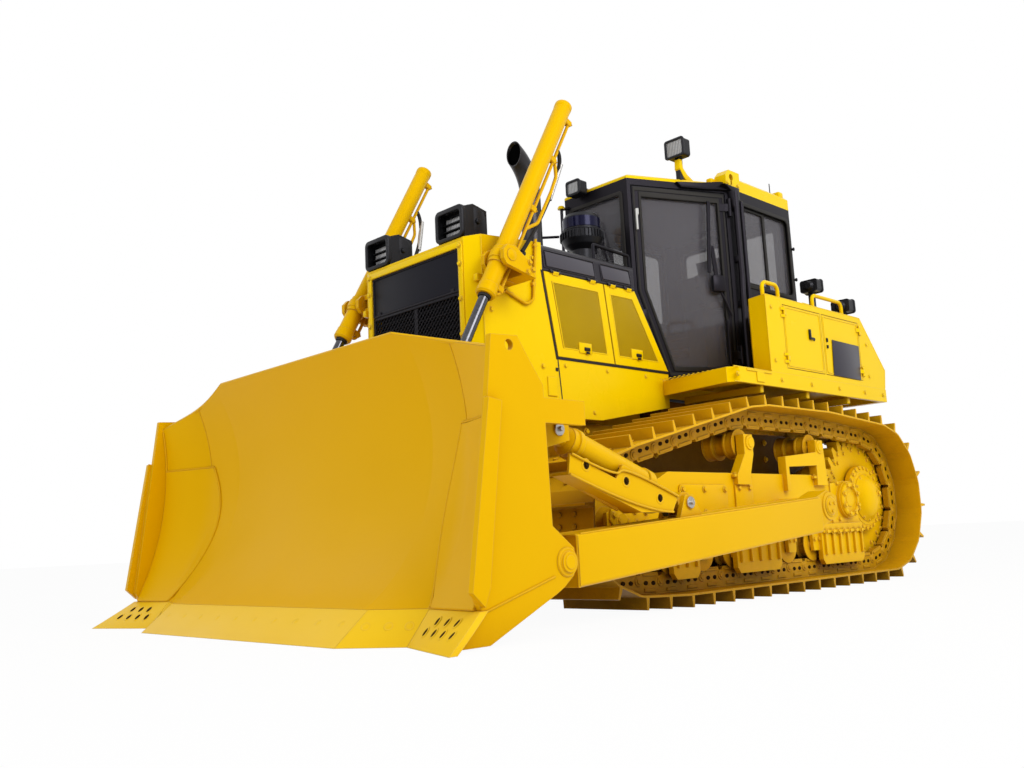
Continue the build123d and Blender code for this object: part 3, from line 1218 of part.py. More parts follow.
# x, y, height of the seat, height of the middle, width, height, which way the lamp faces
lamp_places = ((-757, 470, roof_z, 3300, 165, 140, 1), (-1850, 1120, box_top, 2080, 150, 100, -1),
               (-1897, 850, box_top, 2310, 150, 100, -1), (-1850, -1120, box_top, 2080, 150, 100, -1))
hood_lamp_x = 1470
with BuildPart() as work_lamps:
    side_slab([(hood_lamp_x - 180, guard_top_z + (guard_front_x - hood_lamp_x + 180) * guard_slope),
               (hood_lamp_x, guard_top_z + (guard_front_x - hood_lamp_x) * guard_slope),
               (hood_lamp_x, guard_top_z + 190), (hood_lamp_x - 70, guard_top_z + 215),
               (hood_lamp_x - 180, guard_top_z + 190)], 480, 240)
    with BuildSketch(Plane(origin=(hood_lamp_x + 1, 360, guard_top_z + 100), x_dir=(0, 1, 0), z_dir=(1, 0, 0))):
        Rectangle(200, 150)
    extrude(amount=-50, mode=Mode.SUBTRACT)
    mirror(about=Plane.XZ)
    for x, y, foot, middle, width, height, facing in lamp_places:
        with BuildSketch(Plane.XY.offset(foot)):
            with Locations((x, y)):
                Rectangle(40, 40)
        extrude(amount=middle - foot)
        with BuildSketch(Plane(origin=(x - 40 * facing, y, middle), x_dir=(0, 1, 0), z_dir=(facing, 0, 0))):
            RectangleRounded(width, height, 20)
        extrude(amount=80)
    # right front lamp, on a bracket ahead of the roof's edge
    with BuildSketch(Plane.XY.offset(roof_z)):
        with Locations((cab_front_x, -115)):
            Rectangle(80, 60)
    extrude(amount=10)
    with BuildSketch(Plane(origin=(cab_front_x + 29, -115, roof_z - 5), x_dir=(0, 1, 0), z_dir=(1, 0, 0))):
        RectangleRounded(130, 110, 15)
    extrude(amount=80)
work_lamps.part.label = "work_lamps"
export_step(work_lamps.part, "parts/work_lamps.step")

# ---- grab rails ------------------------------------------------------------------------------------------
rail_radius = 14
with BuildPart() as grab_rails:
    for x1, x2 in ((-650, -850), (-1330, -1770)):
        with BuildLine() as rail_line:
            Polyline((x1, fender_outer - 60, box_top), (x1, fender_outer - 60, box_top + 110),
                     (x2, fender_outer - 60, box_top + 110), (x2, fender_outer - 60, box_top))
            fillet(rail_line.vertices().group_by(Axis.Z)[-1], 45)
        with BuildSketch(Plane.XY.offset(box_top).move(Location((x1, fender_outer - 60, 0)))):
            Circle(rail_radius)
        sweep(path=rail_line.wires()[0])
    mirror(about=Plane.XZ)
grab_rails.part.label = "grab_rails"
export_step(grab_rails.part, "parts/grab_rails.step")
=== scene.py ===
from math import acos, atan2, cos, hypot, pi, radians, sin, sqrt

import bpy
from mathutils import Matrix, Vector


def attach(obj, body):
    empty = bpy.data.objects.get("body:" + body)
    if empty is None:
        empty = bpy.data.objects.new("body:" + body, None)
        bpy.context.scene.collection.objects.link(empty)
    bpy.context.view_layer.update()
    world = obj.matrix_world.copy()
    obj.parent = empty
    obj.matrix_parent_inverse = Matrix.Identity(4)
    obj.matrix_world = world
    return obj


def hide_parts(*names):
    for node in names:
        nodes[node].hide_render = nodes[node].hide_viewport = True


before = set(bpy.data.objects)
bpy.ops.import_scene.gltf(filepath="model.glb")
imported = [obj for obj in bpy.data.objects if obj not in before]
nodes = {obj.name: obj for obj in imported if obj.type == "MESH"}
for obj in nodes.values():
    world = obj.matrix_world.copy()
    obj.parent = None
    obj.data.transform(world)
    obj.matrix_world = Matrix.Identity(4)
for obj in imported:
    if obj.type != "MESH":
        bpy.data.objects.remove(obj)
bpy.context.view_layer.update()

# ---- floor and backdrop ----------------------------------------------------------------------
# A seamless white studio floor.  It stays white behind the machine and in its
# reflections, and keeps a soft shadow under the tracks.


class Socket:
    """A socket of a shader: arithmetic on it adds the Math nodes."""

    def __init__(self, tree, plug=None):
        self.tree = tree
        self.plug = plug

    def node(self, kind, settings, links, out=0):
        """Any node: its settings are set first, then the values or links of its sockets."""
        made = self.tree.nodes.new(kind)
        for name, value in settings.items():
            if name == "stops":
                while len(made.color_ramp.elements) < len(value):
                    made.color_ramp.elements.new(0.5)
                for stop, (place, colour) in zip(made.color_ramp.elements, value):
                    stop.position = place
                    stop.color = colour
            else:
                setattr(made, name, value)
        for name, value in links.items():
            if isinstance(value, Socket):
                self.tree.links.new(value.plug, made.inputs[name])
            else:
                made.inputs[name].default_value = value
        return Socket(self.tree, made.outputs[out])

    def math(self, operation, *values):
        return self.node("ShaderNodeMath", {"operation": operation}, dict(enumerate(values)))

    def __add__(self, other):
        return self.math("ADD", self, other)

    __radd__ = __add__

    def __sub__(self, other):
        return self.math("SUBTRACT", self, other)

    def __rsub__(self, other):
        return self.math("SUBTRACT", other, self)

    def __mul__(self, other):
        return self.math("MULTIPLY", self, other)

    __rmul__ = __mul__

    def clamp(self):
        return self.node("ShaderNodeClamp", {}, {"Value": self})

    def noise(self, scale, detail):
        """Clouds of this scale, read at this place."""
        return self.node("ShaderNodeTexNoise", {}, {"Vector": self, "Scale": scale, "Detail": detail})

    def mix(self, first, second):
        """The colour between two others, by this share of the second."""
        ends = [end if isinstance(end, Socket) else (*end, 1) for end in (first, second)]
        return self.node("ShaderNodeMix", {"data_type": "RGBA"},
                         {"Factor": self, "A": ends[0], "B": ends[1]}, 2)

    def feed(self, shader, name):
        """Links it to one of the shader's sockets."""
        self.tree.links.new(self.plug, shader.inputs[name])

    def emboss(self, shader, strength, depth, **normal):
        """Raises the surface by this height."""
        bump = self.node("ShaderNodeBump", {},
                         {"Strength": strength, "Distance": depth, "Height": self, **normal})
        bump.feed(shader, "Normal")


def new_finish(name):
    """A material, its tree to build in, and its Principled shader."""
    made = bpy.data.materials.new(name)
    made.use_nodes = True
    return made, Socket(made.node_tree), made.node_tree.nodes["Principled BSDF"]


def seen_directly(tree):
    """1 for rays from the camera, from a reflection or through glass, 0 for the rest."""
    rays = [tree.node("ShaderNodeLightPath", {}, {}, f"Is {kind} Ray")
            for kind in ("Camera", "Glossy", "Transmission")]
    return (rays[0] + rays[1] + rays[2]).clamp()


floor_white, tree, shader = new_finish("floor_white")
shader.inputs["Base Color"].default_value = (0.9, 0.9, 0.9, 1)
shader.inputs["Roughness"].default_value = 0.9
shader.inputs["Specular IOR Level"].default_value = 0.1
glow = tree.node("ShaderNodeEmission", {}, {"Color": (1, 1, 1, 1), "Strength": 1.0})
lit = Socket(tree.tree, shader.outputs[0])
glow_share = 0.95          # the rest is lit, and takes the shadow
mixed = tree.node("ShaderNodeMixShader", {}, {0: seen_directly(tree) * glow_share, 1: lit, 2: glow})
mixed.feed(tree.tree.nodes["Material Output"], "Surface")

bpy.ops.object.select_all(action="DESELECT")
bpy.ops.mesh.primitive_plane_add(size=160)
studio_floor = bpy.context.object
studio_floor.name = "studio_floor"
studio_floor.data.materials.append(floor_white)

sky = bpy.data.worlds.new("studio")
bpy.context.scene.world = sky
sky.use_nodes = True
air = Socket(sky.node_tree)
sky_light = 0.5
background = sky.node_tree.nodes["Background"]
background.inputs["Color"].default_value = (1, 1, 1, 1)
(sky_light + seen_directly(air) * (1 - sky_light)).feed(background, "Strength")

# ---- lamps and camera ------------------------------------------------------------------------
# A big soft lamp on the machine's left, as a window would be, with a weak one in front,
# and a camera low down beside the left end of the blade.
for name, place, target, size, watts in (
        ("key_lamp", (1.5, 9.0, 6.5), (-0.3, 0.4, 1.2), 5.0, 540),
        ("front_lamp", (9.0, 1.0, 5.0), (0.5, 0.0, 1.2), 6.0, 170)):
    bpy.ops.object.light_add(type="AREA", location=place)
    lamp = bpy.context.object
    lamp.name = name
    lamp.data.size = size
    lamp.data.energy = watts
    lamp.rotation_euler = (Vector(place) - Vector(target)).to_track_quat("Z", "Y").to_euler()

eye = Vector((5.149, 4.564, 0.423))
yaw, pitch, roll = radians(45.55), radians(9.08), radians(2.71)
level = Vector((-cos(yaw), -sin(yaw), 0))
side = Vector((level.y, -level.x, 0))
ahead = cos(pitch) * level + Vector((0, 0, sin(pitch)))
down = sin(pitch) * level - Vector((0, 0, cos(pitch)))
right = cos(roll) * side + sin(roll) * down
below = cos(roll) * down - sin(roll) * side
bpy.ops.object.camera_add()
camera = bpy.context.object
camera.matrix_world = Matrix((right, -below, -ahead)).transposed().to_4x4()
camera.location = eye
camera.data.lens = 34.18
camera.data.sensor_width = 36
bpy.context.scene.camera = camera
bpy.context.scene.view_settings.view_transform = "Standard"

# ---- hull and engine -------------------------------------------------------------------------
# The welded steel case that everything bolts to, with its belly plates, and the engine on it.
# Both are sprayed the same yellow; the hull's is painted darker, as the shade it stands in, and both grow
# darker towards the bottom.


def paint(name, colour, roughness, shade, peel=0.03, edge=0.35, gleam=0.4, grime_and_shade=0.0, foot=0.0, reach=0.22):
    """Sprayed paint: cloudy, with painted highlights along its edges, painted shade in its corners, and an
    orange peel.
    """
    made, tree, shader = new_finish(name)
    place = tree.node("ShaderNodeTexCoord", {}, {}, "Object")
    cloud = place.noise(1.7, 5)
    fine = place.noise(240.0, 2)
    rounded = tree.node("ShaderNodeBevel", {"samples": 4}, {"Radius": 0.005})
    flat = tree.node("ShaderNodeNewGeometry", {}, {}, "Normal")
    agree = tree.node("ShaderNodeVectorMath", {"operation": "DOT_PRODUCT"}, {0: rounded, 1: flat}, "Value")
    # painted highlight: the colour is lightened along sharp edges, where the rounded normal parts from the
    # flat one, more in some clouds than in others
    edge_highlight = ((1.0 - agree) * 5.0).clamp() * (cloud + 0.3).clamp() * edge
    # painted shade: the colour darkens towards the shade colour in corners and hollows, as far as reach, with
    # a cloudy mottle of real tone
    corner = tree.node("ShaderNodeAmbientOcclusion", {"samples": 5}, {"Distance": reach}, "AO")
    corner_shade_and_mottle = ((1.0 - corner) * 0.9 + (cloud - 0.5) * 0.22).clamp()
    base = corner_shade_and_mottle.mix(colour, shade)
    light = tuple(min(1.0, c + 0.3 * (1 - c)) for c in colour)
    base = edge_highlight.mix(base, light)
    rough = roughness + (cloud - 0.5) * 0.2
    # with grime, the colour also turns dark brown towards the bottom, in more painted shade in the corners,
    # and in spots of dirt
    if grime_and_shade:
        height = tree.node("ShaderNodeSeparateXYZ", {}, {0: place}, 2)
        spots = tree.node("ShaderNodeTexNoise", {},
                          {"Vector": place, "Scale": 14.0, "Detail": 8, "Roughness": 0.7})
        dirt_and_shade = (((foot - height) * 1.5).clamp() * 0.6 + (1.0 - corner) * 0.5
                + (spots - 0.62) * 2.0).clamp() * grime_and_shade
        base = dirt_and_shade.mix(base, (0.13, 0.06, 0.012))
        rough = rough + dirt_and_shade * 0.4
    base.feed(shader, "Base Color")
    rough.clamp().feed(shader, "Roughness")
    fine.emboss(shader, peel, 0.001, Normal=rounded)
    shader.inputs["Specular IOR Level"].default_value = gleam
    strongest = max(colour)
    shader.inputs["Specular Tint"].default_value = (*[0.04 + 0.96 * c / strongest for c in colour], 1)
    return made


def colour_node(names, finish):
    """Gives a CAD node's slots their finish."""
    for name in names.split():
        mesh = nodes[name].data
        if not mesh.materials:
            mesh.materials.append(finish)
        for index in range(len(mesh.materials)):
            mesh.materials[index] = finish


frame_yellow = paint("frame_yellow", (0.96, 0.58, 0.001), 0.42, (0.45, 0.19, 0.002), peel=0.06, gleam=0.2,
                     grime_and_shade=0.25, foot=0.3)
colour_node("engine_block drawbar", frame_yellow)
# the hull is painted in shade: a darker copy of the yellow, with near-black painted shade reaching far into
# its corners
hull_yellow_shaded = paint("hull_yellow_shaded", (0.6, 0.3, 0.002), 0.5, (0.03, 0.012, 0.002), peel=0.06, grime_and_shade=0.5,
                    foot=0.6, reach=0.9)
colour_node("main_frame", hull_yellow_shaded)


def alone(piece):
    """Makes a piece the only one selected, and the active one."""
    bpy.ops.object.select_all(action="DESELECT")
    piece.select_set(True)
    bpy.context.view_layer.objects.active = piece


def fasten(piece, name, body, finish, pair=False, angle=35):
    """Finishes a piece in its place: its name, paint, body and slot, and its twin on the right."""
    piece.name = piece.data.name = name
    alone(piece)
    bpy.ops.object.transform_apply(location=True, rotation=True, scale=True)
    if pair:
        twin = piece.modifiers.new("twin", "MIRROR")
        twin.use_axis = (False, True, False)
        twin.use_mirror_merge = False
        bpy.ops.object.modifier_apply(modifier="twin")
    bpy.ops.object.shade_smooth_by_angle(angle=radians(angle))
    piece.data.materials.clear()
    piece.data.materials.append(finish)
    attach(piece, body)
    return piece


def tidy_mesh(piece):
    """Merges doubled points and turns the faces outwards."""
    alone(piece)
    bpy.ops.object.mode_set(mode="EDIT")
    bpy.ops.mesh.select_all(action="SELECT")
    bpy.ops.mesh.remove_doubles(threshold=0.00002)
    bpy.ops.mesh.normals_make_consistent(inside=False)
    bpy.ops.object.mode_set(mode="OBJECT")


def looking(point, direction, turn=0.0):
    """The place of a piece whose own z points along a direction."""
    way = Vector(direction).to_track_quat("Z", "Y").to_matrix().to_4x4()
    return Matrix.Translation(point) @ way @ Matrix.Rotation(turn, 4, "Z")


def turned(profile, steps, place=None):
    """A piece turned on a lathe: its profile gives radius and height, and it stands on z."""
    line = bpy.data.curves.new("profile", "CURVE")
    line.dimensions = "3D"
    spline = line.splines.new("POLY")
    spline.points.add(len(profile) - 1)
    for point, (radius, height) in zip(spline.points, profile):
        point.co = (radius, 0, height, 1)
    piece = bpy.data.objects.new("turned", line)
    bpy.context.collection.objects.link(piece)
    alone(piece)
    bpy.ops.object.convert(target="MESH")
    piece = bpy.context.object
    lathe = piece.modifiers.new("lathe", "SCREW")
    lathe.steps = lathe.render_steps = steps
    lathe.use_merge_vertices = True
    lathe.merge_threshold = 0.00001
    bpy.ops.object.modifier_apply(modifier="lathe")
    tidy_mesh(piece)
    if place:
        piece.matrix_world = place
    return piece


def joined(pieces):
    """Joins pieces into one mesh at the origin."""
    bpy.ops.object.select_all(action="DESELECT")
    for piece in pieces:
        piece.select_set(True)
    bpy.context.view_layer.objects.active = pieces[0]
    bpy.ops.object.transform_apply(location=True, rotation=True, scale=True)
    bpy.ops.object.join()
    return bpy.context.object


def repeated(model, places):
    """Copies a small piece to each place and joins the copies."""
    copies = []
    for place in places:
        copy = model.copy()
        copy.data = model.data.copy()
        bpy.context.collection.objects.link(copy)
        copy.matrix_world = place
        copies.append(copy)
    bpy.data.objects.remove(model)
    return joined(copies)


def bolt(across, washer=True):
    """A hexagon bolt head with its chamfer, on a washer."""
    radius, height = across / 1.732, across * 0.42
    head = turned([(0, height), (radius * 0.85, height), (radius, height * 0.78), (radius, 0), (0, 0)], 6)
    if not washer:
        return head
    head.location.z = across * 0.1
    ring = turned([(0, across * 0.1), (across * 0.78, across * 0.1), (across * 0.84, 0), (0, 0)], 12)
    return joined([head, ring])


belly_bolts = [looking((x, s * y, 0.414), (0, 0, -1)) for s in (1, -1) for y in (0.12, 0.42)
               for x in (-2.2, -1.7, -1.2, -0.7, -0.2, 0.3, 0.8)]
side_bolts = [looking((x, s * 0.481, z), (0, s, 0)) for s in (1, -1) for z in (0.95, 1.08)
              for x in (-1.6, -0.9, -0.2, 0.5, 0.75, 1.25, 1.38)]
fasten(repeated(bolt(0.03), belly_bolts + side_bolts), "hull_bolts", "tractor", frame_yellow)

# ---- tracks ----------------------------------------------------------------------------------
# Forged links and rolled shoes, four bolts to a shoe.  They are dipped in a thinner paint,
# which is painted brown as shade inside the loop where the rollers run.
# painted shade: a near-black brown that reaches far into the corners and the inside of the loop, on top of
# the grime's darkening
track_yellow = paint("track_yellow", (0.82, 0.45, 0.003), 0.5, (0.09, 0.03, 0.004), peel=0.12, grime_and_shade=0.5,
                     foot=0.2, reach=0.4)
colour_node("track_left track_right", track_yellow)
# a near-black brown: painted shade inside holes, slots and wells, and the colour of dark joints
hole_shade_and_joints = paint("hole_shade_and_joints", (0.035, 0.018, 0.004), 0.8, (0.01, 0.005, 0.002), edge=0.0, gleam=0.1)

track_y = 0.94
shoe_count = 42
pin_line = ((0.965, 0.488, 0.32), (-0.35, 0.972, 0.157), (-1.252, 0.972, 0.157),
            (-2.045, 0.614, 0.464), (0.585, 0.3073, 0.1573))     # x, z, radius of each bend


def leaving(wheel, following):
    """Direction of the outward normal where the chain leaves one bend for the next."""
    dx, dz = following[0] - wheel[0], following[1] - wheel[1]
    return atan2(dz, dx) - acos((wheel[2] - following[2]) / hypot(dx, dz))


def on_bend(x, z, radius, start):
    """Gives the point of a bend at a distance from the bend's start."""
    return lambda d: (x + radius * cos(start + d / radius), z + radius * sin(start + d / radius))


def on_straight(start, end, length):
    """Gives the point of a straight at a distance from its start."""
    return lambda d: (start[0] + (end[0] - start[0]) * d / length,
                      start[1] + (end[1] - start[1]) * d / length)


def pin_places():
    """The track pins in turn, from the top of the idler's front."""
    runs = []
    for i, (x, z, radius) in enumerate(pin_line):
        following = pin_line[(i + 1) % len(pin_line)]
        arrive, leave = leaving(pin_line[i - 1], pin_line[i]), leaving(pin_line[i], following)
        turn = (leave - arrive) % (2 * pi)
        runs.append((turn * radius, on_bend(x, z, radius, arrive)))
        start = (x + radius * cos(leave), z + radius * sin(leave))
        end = (following[0] + following[2] * cos(leave), following[1] + following[2] * sin(leave))
        length = hypot(end[0] - start[0], end[1] - start[1])
        runs.append((length, on_straight(start, end, length)))
    pitch = sum(run[0] for run in runs) / shoe_count
    places = []
    for i in range(shoe_count):
        distance = i * pitch
        for length, at in runs:
            if distance <= length:
                break
            distance -= length
        places.append(at(distance))
    return places, pitch


pins, pitch = pin_places()
shoe_places = []
for pin, following in zip(pins, pins[1:] + pins[:1]):
    along = Vector((following[0] - pin[0], 0, following[1] - pin[1])).normalized()
    outward = Vector((along.z, 0, -along.x))
    turn = Matrix((along, outward.cross(along), outward)).transposed().to_4x4()
    shoe_places.append(Matrix.Translation((pin[0], track_y, pin[1])) @ turn)


def block(size, place, corner=0.004, segments=1):
    """A block with bevelled edges, its middle at a place."""
    bpy.ops.object.select_all(action="DESELECT")
    bpy.ops.mesh.primitive_cube_add(size=1)
    piece = bpy.context.object
    piece.scale = size
    bpy.ops.object.transform_apply(scale=True)
    bpy.ops.object.mode_set(mode="EDIT")
    bpy.ops.mesh.select_all(action="SELECT")
    bpy.ops.mesh.bevel(offset=corner, segments=segments, affect="EDGES")
    bpy.ops.object.mode_set(mode="OBJECT")
    piece.matrix_world = Matrix.Translation(place) if not isinstance(place, Matrix) else place
    return piece


shoe_top = 0.085
bolts = [looking((pitch * share, y, shoe_top), (0, 0, 1)) for share in (0.3, 0.62)
         for y in (-0.175, -0.07, 0.07, 0.175)]
shoe_bolts = repeated(bolt(0.026, washer=False), bolts)
bosses = []
for side in (1, -1):
    bosses.append(turned([(0, 0.009), (0.016, 0.009), (0.019, 0.004), (0.03, 0.004), (0.034, 0), (0, 0)], 12,
                         looking((0, side * 0.105, 0), (0, side, 0))))
    # the raised strap of the link, from its pin up to the shoe
    bosses.append(block((pitch * 0.5, 0.007, 0.022), (pitch * 0.5, side * 0.107, 0.052), 0.003))
    bosses.append(block((pitch * 0.62, 0.007, 0.016), (pitch * 0.5, side * 0.107, -0.034), 0.003))
shoe_kit = joined([shoe_bolts] + bosses)
fasten(repeated(shoe_kit, shoe_places), "track_bolts", "tractor", track_yellow, pair=True)

# the two windows in the side of each link, painted dark as the shade inside them
window = turned([(0, 0.0012), (0.019, 0.0012), (0.021, 0), (0, 0)], 10)
window.scale = (1.0, 0.62, 1)
windows = [shoe_place @ looking((pitch * share, side * 0.105, 0.012), (0, side, 0))
           for shoe_place in shoe_places for share in (0.33, 0.67) for side in (1, -1)]
alone(window)
bpy.ops.object.transform_apply(scale=True)
fasten(repeated(window, windows), "link_windows", "tractor", hole_shade_and_joints, pair=True)

# ---- sprockets and final drives --------------------------------------------------------------
# A cast wheel with bolted tooth segments round a domed planetary hub.  The joints of the
# hub are ringed with bolts.
colour_node("sprockets", frame_yellow)
hub_x, hub_z = pin_line[3][:2]
ring_bolts = []
for radius, count, y in ((0.229, 24, 1.043), (0.372, 18, 0.982), (0.414, 29, 0.982)):
    for i in range(count):
        angle = 2 * pi * (i + 0.3) / count
        ring_bolts.append(looking((hub_x + radius * cos(angle), y, hub_z + radius * sin(angle)), (0, 1, 0),
                                  angle))
fasten(repeated(bolt(0.022), ring_bolts), "sprocket_bolts", "tractor", frame_yellow,
       pair=True)
dome = turned([(0, 0.0945), (0.03, 0.094), (0.07, 0.087), (0.1, 0.078), (0.128, 0.066), (0.145, 0.052),
               (0.16, 0.036), (0.172, 0.026), (0.18, 0.02), (0.18, 0.012), (0.205, 0.011), (0.21, 0.0),
               (0.212, -0.006), (0, -0.006)], 48, looking((hub_x, 1.04, hub_z), (0, 1, 0)))
drain_plug = bolt(0.03)
drain_plug.matrix_world = looking((hub_x - 0.052, 1.1325, hub_z + 0.03), (0, 1, 0))
dome_ring = repeated(bolt(0.018),
                     [looking((hub_x + 0.165 * cos(a * pi / 6), 1.064, hub_z + 0.165 * sin(a * pi / 6)),
                              (0, 1, 0)) for a in range(12)])
fasten(joined([dome, dome_ring, drain_plug]), "final_drive_covers", "tractor",
       frame_yellow, pair=True)
# dark joints between the tooth segments
joint_slot = block((0.1, 0.004, 0.0025), (0, 0, 0), 0.001)
slots_at = [looking((hub_x + 0.43 * cos(a), 0.983, hub_z + 0.43 * sin(a)), (0, 1, 0))
            @ Matrix.Rotation(-a, 4, "Z") for a in [2 * pi * i / 9 for i in range(9)]]
fasten(repeated(joint_slot, slots_at), "segment_joints", "tractor", hole_shade_and_joints, pair=True)

# ---- track frames, idlers and rollers --------------------------------------------------------
# Box beams welded from plate.  They carry the idler's guards at the front, the rollers in
# bolted brackets below, and the pivot shaft's cap at the tail.
colour_node("track_frames", frame_yellow)
roller_yellow = paint("roller_yellow", (0.9, 0.5, 0.003), 0.55, (0.12, 0.04, 0.004), peel=0.1, grime_and_shade=0.6,
                      foot=0.3)
colour_node("track_rollers idlers", roller_yellow)


def plate(loops, thickness, place, corner=0.003):
    """A flat plate with bevelled edges: its outline, then its holes, in its own plane."""
    line = bpy.data.curves.new("plate", "CURVE")
    line.dimensions = "2D"
    line.fill_mode = "BOTH"
    line.extrude = thickness / 2 - corner
    line.bevel_depth = corner
    line.bevel_resolution = 1
    line.offset = -corner
    for loop in loops:
        spline = line.splines.new("POLY")
        spline.points.add(len(loop) - 1)
        for point, (u, v) in zip(spline.points, loop):
            point.co = (u, v, 0, 1)
        spline.use_cyclic_u = True
    piece = bpy.data.objects.new("plate", line)
    bpy.context.collection.objects.link(piece)
    alone(piece)
    bpy.ops.object.convert(target="MESH")
    piece = bpy.context.object
    tidy_mesh(piece)
    piece.matrix_world = place
    return piece


def leaning(point, angle, axis):
    """The place of a piece turned about one axis."""
    return Matrix.Translation(point) @ Matrix.Rotation(angle, 4, axis)


def standing(y, x=0.0, z=0.0):
    """The place of a plate drawn in x and z, standing along the machine at y."""
    return leaning((x, y, z), pi / 2, "X")


def facing(x, y=0.0, z=0.0):
    """The place of a plate drawn in y and z, standing across the machine at x."""
    return Matrix.Translation((x, y, z)) @ Matrix(((0, 0, 1, 0), (1, 0, 0, 0), (0, 1, 0, 0), (0, 0, 0, 1)))


def lying(z, x=0.0, y=0.0):
    """The place of a plate drawn in x and y, lying flat at z."""
    return Matrix.Translation((x, y, z))


def oblong(u, v, width, height, corner, steps=4):
    """A rounded rectangle round (u, v)."""
    points = []
    for i, (su, sv) in enumerate(((1, 1), (-1, 1), (-1, -1), (1, -1))):
        for k in range(steps + 1):
            angle = pi / 2 * (i + k / steps)
            points.append((u + su * (width / 2 - corner) + corner * cos(angle),
                           v + sv * (height / 2 - corner) + corner * sin(angle)))
    return points


frame_side = 1.095
guards = ((0.54, 0.28), (-0.12, -0.64), (-1.19, -1.8))          # front and rear end of each roller guard
roller_at = (0.49, 0.16, -0.17, -0.5, -0.83, -1.16, -1.49)
carrier_at = (pin_line[1][0], pin_line[2][0])
pivot_x, pivot_z = -1.618, 0.598
extras = []
# cover plate beside the idler, with its row of bolts, and the plate over the recoil spring
extras.append(plate([[(0.72, 0.45), (1.03, 0.47), (1.06, 0.5), (1.05, 0.56), (0.96, 0.575), (0.72, 0.56)]],
                    0.014, standing(frame_side + 0.006)))
extras.append(plate([oblong(0.16, 0.6, 0.5, 0.2, 0.03)], 0.012, standing(frame_side + 0.005)))
extras.append(plate([oblong(-0.28, 0.6, 0.2, 0.22, 0.02)], 0.014, standing(frame_side + 0.006)))
# feet and stiffeners of the carrier posts
extras.append(block((0.2, 0.05, 0.02), (-0.26, 1.1, 0.757), 0.004))
extras.append(block((0.2, 0.05, 0.02), (-1.262, 1.1, 0.757), 0.004))
# ribs on the roller guards
for front, rear in guards:
    ribs = max(3, round((front - rear) / 0.11))
    for i in range(ribs):
        x = front - 0.04 - (front - rear - 0.08) * i / (ribs - 1)
        extras.append(block((0.016, 0.02, 0.15), (x, 1.128, 0.29), 0.003))
    extras.append(block((front - rear - 0.02, 0.018, 0.022), ((front + rear) / 2, 1.127, 0.376), 0.004))
# pivot shaft's cap with its ring, and the caps of the carrier rollers
cap = turned([(0, 0.012), (0.05, 0.012), (0.056, 0.006), (0.088, 0.006), (0.094, 0.022), (0.118, 0.022),
              (0.126, 0.014), (0.128, 0), (0, 0)], 36, looking((pivot_x, 1.13, pivot_z), (0, 1, 0)))
extras.append(cap)
for x in carrier_at:
    extras.append(turned([(0, 0.014), (0.028, 0.014), (0.034, 0.008), (0.046, 0.008), (0.05, 0), (0, 0)], 20,
                         looking((x, 1.13, 0.972), (0, 1, 0))))
fasten(joined(extras), "frame_plates", "tractor", frame_yellow, pair=True)

bolts = [looking((x, frame_side + 0.013, z), (0, 1, 0))
         for x, z in ((0.75, 0.48), (0.83, 0.485), (0.91, 0.49), (0.99, 0.5), (0.75, 0.54), (0.85, 0.545),
                      (0.95, 0.55), (1.03, 0.53), (-0.06, 0.67), (0.38, 0.67), (-0.06, 0.53), (0.38, 0.53),
                      (0.16, 0.67), (0.16, 0.53), (-0.34, 0.68), (-0.22, 0.68), (-0.34, 0.52),
                      (-0.22, 0.52))]
for x in roller_at:
    bolts += [looking((x + dx, frame_side, 0.33), (0, 1, 0)) for dx in (-0.03, 0.03)]
for front, rear in guards:
    count = round((front - rear) / 0.09)
    bolts += [looking((front - 0.05 - (front - rear - 0.1) * i / (count - 1), 1.137, 0.376), (0, 1, 0))
              for i in range(count)]
for i in range(8):
    angle = 2 * pi * (i + 0.5) / 8
    bolts.append(looking((pivot_x + 0.107 * cos(angle), 1.152, pivot_z + 0.107 * sin(angle)), (0, 1, 0)))
for x, z in ((-1.74, 0.5), (-1.74, 0.68), (-1.5, 0.46), (-1.5, 0.72), (-1.62, 0.42), (-1.42, 0.58)):
    bolts.append(looking((x, 1.105, z), (0, 1, 0)))
for x in (-0.33, -0.2, -1.32, -1.2):
    bolts.append(looking((x, 1.1, 0.767), (0, 0, 1)))
fasten(repeated(bolt(0.026), bolts), "frame_bolts", "tractor", frame_yellow, pair=True)

# the idler's hub cap, and the slot over its guard where the adjuster slides, painted dark as the shade in it
idler_cap = turned([(0, 0.02), (0.05, 0.02), (0.056, 0.014), (0.072, 0.012), (0.078, 0), (0, 0)], 28,
                   looking((0.965, frame_side, 0.488), (0, 1, 0)))
fasten(idler_cap, "idler_caps", "tractor", frame_yellow, pair=True)
slot = plate([oblong(0.8, 0.625, 0.2, 0.04, 0.018)], 0.006, standing(frame_side), 0.001)
fasten(slot, "adjuster_slots", "tractor", hole_shade_and_joints, pair=True)

# ---- push arms and tilt cylinder -------------------------------------------------------------
# Two box beams outside the tracks, each welded from four plates.  The left one carries the
# tilt cylinder under a bolted guard, the right one a fixed brace.
arm_yellow = paint("arm_yellow", (0.84, 0.485, 0.0), 0.36, (0.45, 0.19, 0.001), peel=0.05, gleam=0.15,
                   grime_and_shade=0.12, foot=0.3)
colour_node("push_arms tilt_links", arm_yellow)


